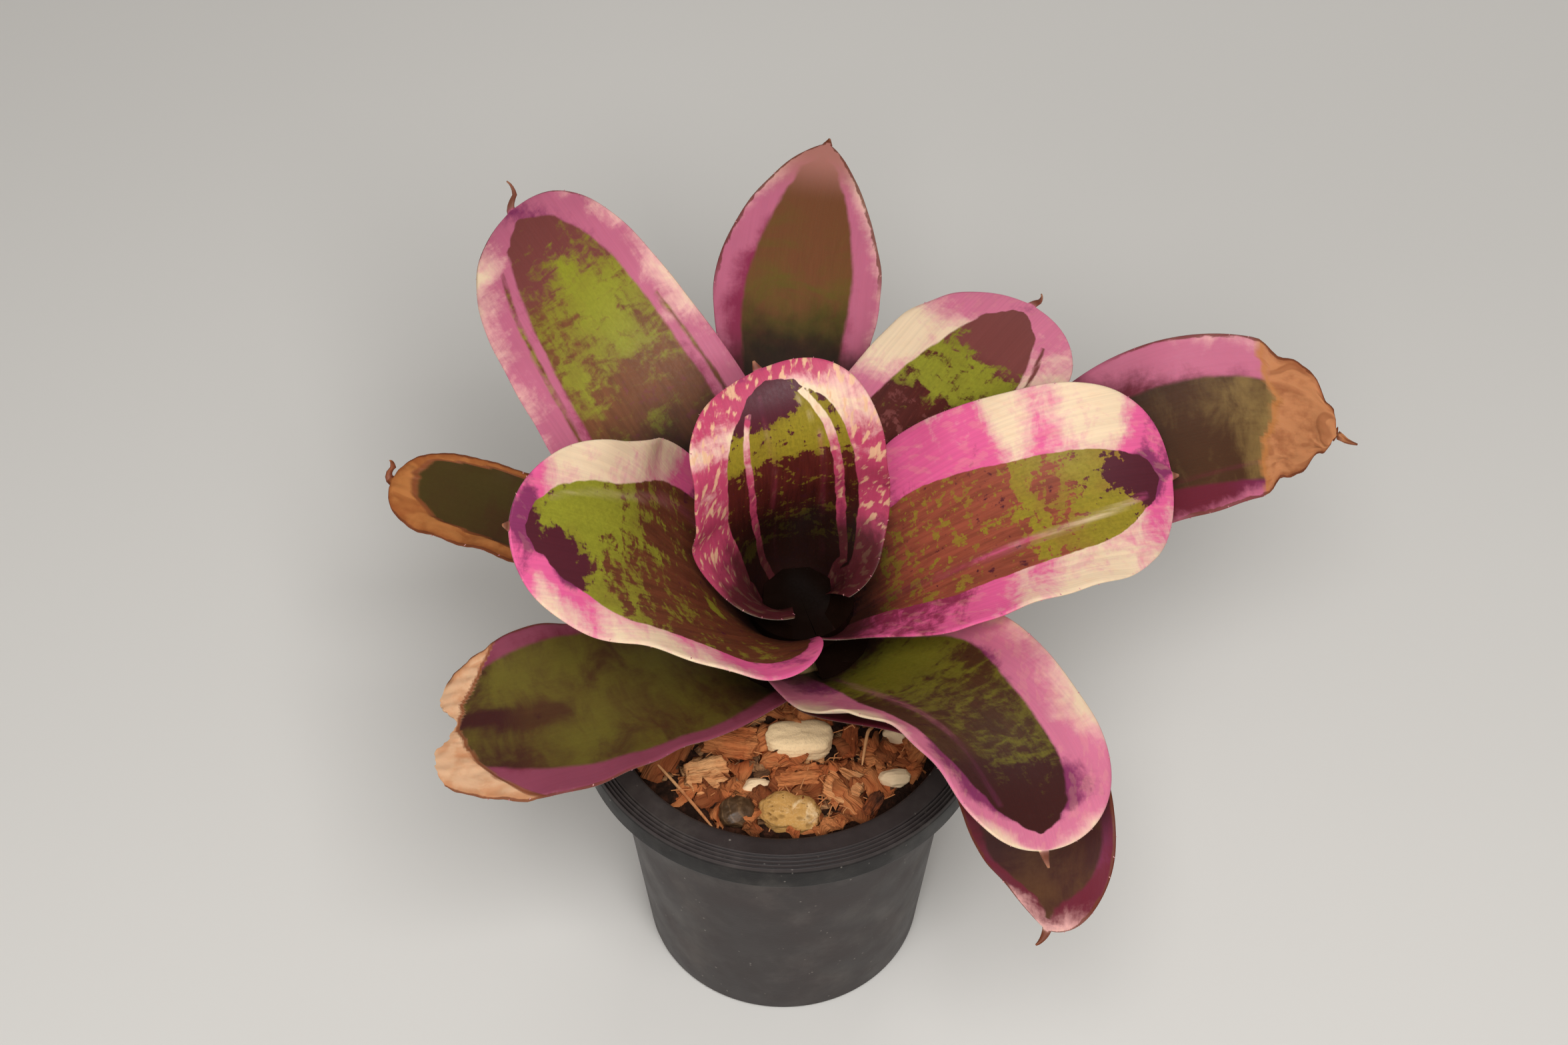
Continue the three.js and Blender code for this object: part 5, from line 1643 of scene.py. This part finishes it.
def pebble_material():
    """Dark pebble with thin pale lines in one plane after another."""
    stones = settings("stones")
    wires = Finish("striped_pebble", Specular_IOR_Level=0.45)
    place = wires.object_place()
    tipped = wires.result("ShaderNodeMapping", {"Vector": place, "Rotation": (0.5, 0.9, 0.4)})
    waves = {"Vector": tipped, "Scale": 210.0, "Distortion": 2.2, "Detail": 2.0, "Detail Scale": 1.5}
    bands = wires.add("ShaderNodeTexWave", waves).outputs["Fac"]
    cloud = wires.noise(place, 500, 4.0)
    lines = wires.times(wires.step(0.82, 0.97, bands), wires.step(0.3, 0.6, cloud))
    skin = wires.mix(wires.step(0.35, 0.7, cloud), stones.slate, darker(stones.slate, 1.8))
    skin = wires.mix(lines, skin, stones.stripe)
    return wires.done(skin, wires.step(0.3, 0.7, cloud, to=(0.38, 0.6)), cloud, 0.0002)


def ragged_copy(node, seed):
    """A finer copy of a husk chip's solid, with furrows along it, a lumpy top and frayed edges."""
    bm = copy_of_node(node)
    bmesh.ops.subdivide_edges(bm, edges=bm.edges, cuts=7, use_grid_fill=True, smooth=0.0)
    bmesh.ops.triangulate(bm, faces=bm.faces)
    places = np.array([v.co[:] for v in bm.verts]) / MM
    normals = np.array([v.normal[:] for v in bm.verts])
    offset = places - places.mean(0)
    turn = np.linalg.eigh(np.cov(offset.T))[1][:, ::-1]
    own = offset @ turn
    out = np.clip(np.abs(own[:, 0]) / np.abs(own[:, 0]).max(), 0, 1)
    furrow = swell(own[:, 0] * 0.12, own[:, 1] + own[:, 2], 1.3, seed, 5)
    lump = swell(own[:, 0], own[:, 1] + own[:, 2] * 0.7, 5.0, seed + 1, 4)
    fray = swell(own[:, 1] * 2, own[:, 2] * 2, 1.8, seed + 2, 4) * out**3
    move = normals * (0.24 * furrow + 0.4 * lump)[:, None]
    move += turn[:, 0] * (np.sign(own[:, 0]) * 0.9 * fray)[:, None]
    for vert, step in zip(bm.verts, move * MM):
        vert.co += Vector(step)
    mesh = mesh_from(bm, node)
    mesh.shade_smooth()
    point_values(mesh, "grain", own * MM)
    return mesh


def fibre_mesh(node, path, radius):
    """A fibre along a smooth path, thick in the middle and tapering to both ends."""
    t = np.linspace(0, len(path) - 1, 60)
    points = np.stack([curve(np.arange(len(path)), row, t) for row in np.array(path).T], -1)
    sides = 10
    ways = unit(np.gradient(points, axis=0))
    side = unit(np.cross(ways, (0, 0, 1)))
    up = np.cross(side, ways)
    share = np.linspace(0, 1, len(points))
    width = radius * (0.35 + 0.65 * np.sin(share * math.pi) ** 0.5)
    width = width * (1 + 0.12 * swell(share * 40, share, 7, 3))
    angle = np.arange(sides) * math.tau / sides
    around = side[:, None] * np.cos(angle)[:, None] + up[:, None] * np.sin(angle)[:, None]
    places = (points[:, None] + around * width[:, None, None]).reshape(-1, 3)
    index, faces = tube_faces(len(points), sides)
    faces += [index[0, ::-1].tolist(), index[-1].tolist()]
    return mesh_of(node, places, faces)


# ---- operators ----


class BuildPot(bpy.types.Operator):
    """Builds the nursery pot with its ribbed rim and drain holes"""

    bl_idname = "bromeliad.pot"
    bl_label = "Pot"

    def execute(self, context):
        pot = settings("pot")
        thing = new_object("nursery_pot", lathe("nursery_pot", pot_outline(pot), pot.segments))
        bm = bmesh.new()
        for k in range(pot.drains):
            angle = (k + 0.5) / pot.drains * math.tau
            at = Vector((math.cos(angle), math.sin(angle), 0)) * pot.drain_circle * MM
            radius = pot.drain_radius * MM
            bmesh.ops.create_cone(
                bm, cap_ends=True, segments=32, radius1=radius, radius2=radius, depth=pot.base * 4 * MM,
                matrix=Matrix.Translation(at),
            )
        drill = new_object("drains", mesh_from(bm, "drains"))
        cut = thing.modifiers.new("drains", "BOOLEAN")
        cut.object = drill
        cut.operation = "DIFFERENCE"
        cut.solver = "EXACT"
        thing = plain_mesh(thing, "nursery_pot")
        bpy.data.objects.remove(drill)
        finish_piece(thing, "pot", plastic_material(), "pot")
        return {"FINISHED"}


class BuildMix(bpy.types.Operator):
    """Builds the potting mix with its crumbs, chips and fine fibres"""

    bl_idname = "bromeliad.mix"
    bl_label = "Potting mix"

    def execute(self, context):
        mix, pot = settings("mix"), settings("pot")
        finish_piece(new_object("fine_mix", mix_mesh(pot)), "mix", mix_material(), "potting_mix")
        reach = pot.mouth - mix.bare
        area = math.pi * (reach * MM) ** 2
        places, faces = mix_surface(reach, 24, 72)
        beds = [
            ("husk_crumbs", scatter_tree("Crumbs", 1), mix.crumbs, (mix.husk_pale, mix.bark, 0.3),
                {"Size": 3.4 * MM, "Tilt": 0.5, "Sink": 0.0, "Seed": mix.seed}),
            ("husk_chips", scatter_tree("Chips", 4), mix.chips, (mix.husk, mix.husk_red),
                {"Size": 10 * MM, "Tilt": 0.6, "Sink": 0.4 * MM, "Seed": mix.seed + 5}),
            ("husk_strands", fibre_tree(), mix.fibres, (mix.husk_pale, mix.husk, 0.6),
                {"Length": 15 * MM, "Radius": 0.16 * MM, "Seed": mix.seed + 9}),
        ]
        for name, tree, count, look, values in beds:
            bed = new_object(name + "_bed", mesh_of(name + "_bed", places, faces))
            values = {**values, "Count": count / area, "Material": husk_material(name, *look)}
            finish_piece(run_tree(bed, tree, values, name), "husk", None)
        return {"FINISHED"}


class BuildStones(bpy.types.Operator):
    """Builds the stones that lie on the mix"""

    bl_idname = "bromeliad.stones"
    bl_label = "Stones"

    def execute(self, context):
        stones = settings("stones")
        white = stone_material("white_stone", stones.white, stones.cream, 0.6)
        finishes = {
            "stone_cream": stone_material("cream_stone", stones.cream, stones.grey, 0.3),
            "stone_pitted": stone_material("pitted_stone", stones.pumice, stones.cream, 0.5, stones.pits),
            "pebble_striped": pebble_material(),
        }
        for name, *form in STONES:
            slot = "pebble" if "pebble" in name else "stone"
            stand_in(name, stone_mesh(name, *form), slot, finishes.get(name, white))
        return {"FINISHED"}


class BuildHusks(bpy.types.Operator):
    """Builds the large chips of coconut husk"""

    bl_idname = "bromeliad.husks"
    bl_label = "Husk chips"

    def execute(self, context):
        mix = settings("mix")
        tan = husk_material("husk_tan_skin", mix.husk_pale, mix.husk, 0.1)
        red = husk_material("husk_red_skin", mix.husk_red, mix.bark, 0.2)
        brown = husk_material("husk_brown_skin", mix.husk, mix.husk_red, 0.4)
        finishes = {"husk_tan": tan, "husk_three_lobed": tan, "husk_red": red, "husk_dark": red}
        names = sorted(n for n in frame["nodes"] if n.startswith("husk_"))
        for seed, name in enumerate(names):
            stand_in(name, ragged_copy(name, 40 + seed), "husk", finishes.get(name, brown))
        return {"FINISHED"}


# Long fibres as (x, y, rise over the mix).
FIBRES = {
    "fibre_needle": [(-31, -15.6, 0.8), (-23.6, -25.4, 1.2), (-16.6, -35, 0.9)],
    "fibre_curled": [(19.4, -3.6, 1.4), (21.4, -7.4, 3), (20.2, -10.6, 4.2), (18.8, -18.6, 3.6)],
}
FIBRE_RADIUS = 0.45


class BuildFibres(bpy.types.Operator):
    """Builds the two long fibres that lie on the mix"""

    bl_idname = "bromeliad.fibres"
    bl_label = "Long fibres"

    def execute(self, context):
        mix = settings("mix")
        skin = husk_material("fibre_skin", mix.husk_pale, mix.husk_red, 0.5)
        for name, path in FIBRES.items():
            raised = [(x, y, mix_height(x, y) + rise) for x, y, rise in path]
            stand_in(name, fibre_mesh(name, raised, FIBRE_RADIUS), "husk", skin)
        return {"FINISHED"}


class BuildLeaves(bpy.types.Operator):
    """Builds the eleven leaves with their own marks"""

    bl_idname = "bromeliad.leaves"
    bl_label = "Leaves"

    def execute(self, context):
        for leaf in LEAVES:
            stand_in(leaf["name"], leaf_mesh(leaf), "leaf", LeafSkin(leaf).whole())
        return {"FINISHED"}


class BuildSpines(bpy.types.Operator):
    """Builds the small spines along the leaves' margins"""

    bl_idname = "bromeliad.spines"
    bl_label = "Spines"

    def execute(self, context):
        plant = settings("plant")
        tints = settings("colours")
        wires = Finish("spine")
        tone = wires.noise(wires.object_place(), 500, 2.0)
        skin = wires.mix(wires.step(0.35, 0.65, tone), tints.blush, tints.dusty_pink)
        values = {"Length": plant.spine * MM, "Pitch": plant.spine_pitch * MM, "Seed": 3}
        values["Material"] = wires.done(skin, 0.5)
        thing = run_tree(new_object("margins", margin_lines()), spine_tree(), values, "marginal_spines")
        finish_piece(thing, "leaf", None)
        return {"FINISHED"}


class BuildStem(bpy.types.Operator):
    """Builds the short stem with the scars of old leaves"""

    bl_idname = "bromeliad.stem"
    bl_label = "Stem"

    def execute(self, context):
        plant = settings("plant")
        tints = settings("colours")
        outline = [(0, RIM_HEIGHT - plant.buried), (plant.buried_radius, RIM_HEIGHT - plant.buried)]
        for ring in range(len(LEAVES) - 1, -1, -1):
            radius, height = foot(ring)
            inside = radius - plant.thickness / 2 - 0.6
            outline += [(inside, height - 1.2), (inside - 0.25, height - 0.5)]
        top = RIM_HEIGHT + plant.foot_height
        outline += [(plant.top_radius - 1.5, top + 1.2), (0, top + 1.6)]
        mesh = lathe("stem_fine", softened(outline, 0.4), 48, (plant.x, plant.y))
        wires = Finish("stem_skin")
        rings = wires.noise(wires.scaled(wires.object_place(), 60, 60, 900), 1.0, 4.0)
        skin = wires.mix(wires.step(0.35, 0.7, rings), tints.stem, tints.bark)
        stand_in("stem", mesh, "stem", wires.done(skin, 0.7, rings, 0.0004))
        return {"FINISHED"}


WATER_SPREAD = 0.34  # how far water runs past its solid, so that it meets the leaves, mm


class BuildWater(bpy.types.Operator):
    """Builds the water standing in the cup and in two axils"""

    bl_idname = "bromeliad.water"
    bl_label = "Water"

    def execute(self, context):
        tints = settings("colours")
        wires = Finish("standing_water", IOR=1.33, Specular_IOR_Level=0.4)
        place = wires.object_place()
        murk = wires.noise(place, 160, 4.0)
        # The water's near-black colour is partly murk and partly painted shade of the deep cup.
        skin = wires.mix(wires.step(0.4, 0.7, murk), tints.water, tints.stain_and_shade)
        rough = wires.step(0.3, 0.8, murk, to=(0.02, 0.06))
        material = wires.done(skin, rough, wires.noise(place, 90, 1.0), 0.0002, 0.3)
        for name in ("water_cup", "water_axil_right", "water_axil_left"):
            bm = copy_of_node(name)
            bm.normal_update()
            top = max(v.co.z for v in bm.verts)
            moves = {v: v.normal * WATER_SPREAD * MM for v in bm.verts}
            for vert, move in moves.items():
                level_top = vert.co.z > top - 1e-5
                vert.co += Vector((move.x, move.y, 0 if level_top else move.z))
            stand_in(name, mesh_from(bm, name), "water", material)
        return {"FINISHED"}


class BuildStage(bpy.types.Operator):
    """Builds the floor, the lights and the camera"""

    bl_idname = "bromeliad.stage"
    bl_label = "Stage"

    def execute(self, context):
        stage = settings("stage")
        size = 4.0
        corners = [(-size, -size, 0), (size, -size, 0), (size, size, 0), (-size, size, 0)]
        mesh = bpy.data.meshes.new("floor")
        mesh.from_pydata(corners, [], [(0, 1, 2, 3)])
        floor = new_object("floor", mesh)
        floor.data.materials.append(Finish("floor_paint", Specular_IOR_Level=0.2).done(stage.floor, 0.9))
        self.lights(context, stage)
        self.camera(context, stage)
        return {"FINISHED"}

    def lights(self, context, stage):
        """Soft light from all round and three softboxes aimed at the rosette."""
        world = bpy.data.worlds.new("soft sky")
        world.use_nodes = True
        sky = world.node_tree.nodes["Background"]
        sky.inputs["Color"].default_value = (*stage.sky, 1)
        sky.inputs["Strength"].default_value = stage.sky_strength
        context.scene.world = world
        rosette = Vector((0.01, 0.02, 0.12))
        boxes = [
            ("key", stage.key, 0.45, (0.08, -0.5, 0.86)),
            ("fill", stage.fill, 0.6, (-0.45, -0.75, 0.45)),
            ("back", stage.back, 0.5, (0.25, 0.75, 0.6)),
        ]
        for name, power, size, at in boxes:
            light = bpy.data.lights.new(name, "AREA")
            light.energy = power
            light.size = size
            lamp = new_object(name, light)
            lamp.location = at
            lamp.rotation_euler = (rosette - Vector(at)).to_track_quat("-Z", "Y").to_euler()

    def camera(self, context, stage):
        """The camera, looking along +Y and down."""
        lens = bpy.data.cameras.new("camera")
        lens.lens = stage.lens
        lens.sensor_width = 36
        camera = new_object("camera", lens)
        lift = Vector((0, math.sin(stage.elevation), math.cos(stage.elevation)))
        look = Vector((stage.aim_right * MM, 0, RIM_HEIGHT * MM)) + lift * stage.aim_up * MM
        ahead = Vector((0, math.cos(stage.elevation), -math.sin(stage.elevation)))
        camera.location = look - ahead * stage.distance
        camera.rotation_euler = ahead.to_track_quat("-Z", "Y").to_euler()
        context.scene.camera = camera
        context.scene.view_settings.view_transform = "Standard"


BUILDERS = (
    BuildPot, BuildMix, BuildStones, BuildHusks, BuildFibres,
    BuildStem, BuildLeaves, BuildSpines, BuildWater, BuildStage,
)


class BromeliadPanel(bpy.types.Panel):
    """Lists the pieces of the potted bromeliad"""

    bl_idname = "VIEW3D_PT_bromeliad"
    bl_label = "Potted Bromeliad"
    bl_space_type = "VIEW_3D"
    bl_region_type = "UI"
    bl_category = "Bromeliad"

    def draw(self, context):
        for builder in BUILDERS:
            self.layout.operator(builder.bl_idname, text=builder.bl_label)


FAMILIES = {
    "pot": BromeliadPot,
    "mix": BromeliadMix,
    "stones": BromeliadStones,
    "plant": BromeliadPlant,
    "colours": BromeliadColours,
    "stage": BromeliadStage,
}


def register():
    """Registers the classes and the settings."""
    for item in (*FAMILIES.values(), *BUILDERS, BromeliadPanel):
        bpy.utils.register_class(item)
    for family, group in FAMILIES.items():
        setattr(bpy.types.Scene, "bromeliad_" + family, bpy.props.PointerProperty(type=group))


def unregister():
    """Removes them again."""
    for family in FAMILIES:
        delattr(bpy.types.Scene, "bromeliad_" + family)
    for item in (BromeliadPanel, *reversed(BUILDERS), *reversed(FAMILIES.values())):
        bpy.utils.unregister_class(item)


def main():
    """Builds every piece."""
    register()
    for builder in BUILDERS:
        family, name = builder.bl_idname.split(".")
        getattr(getattr(bpy.ops, family), name)()


if __name__ == "__main__":
    main()
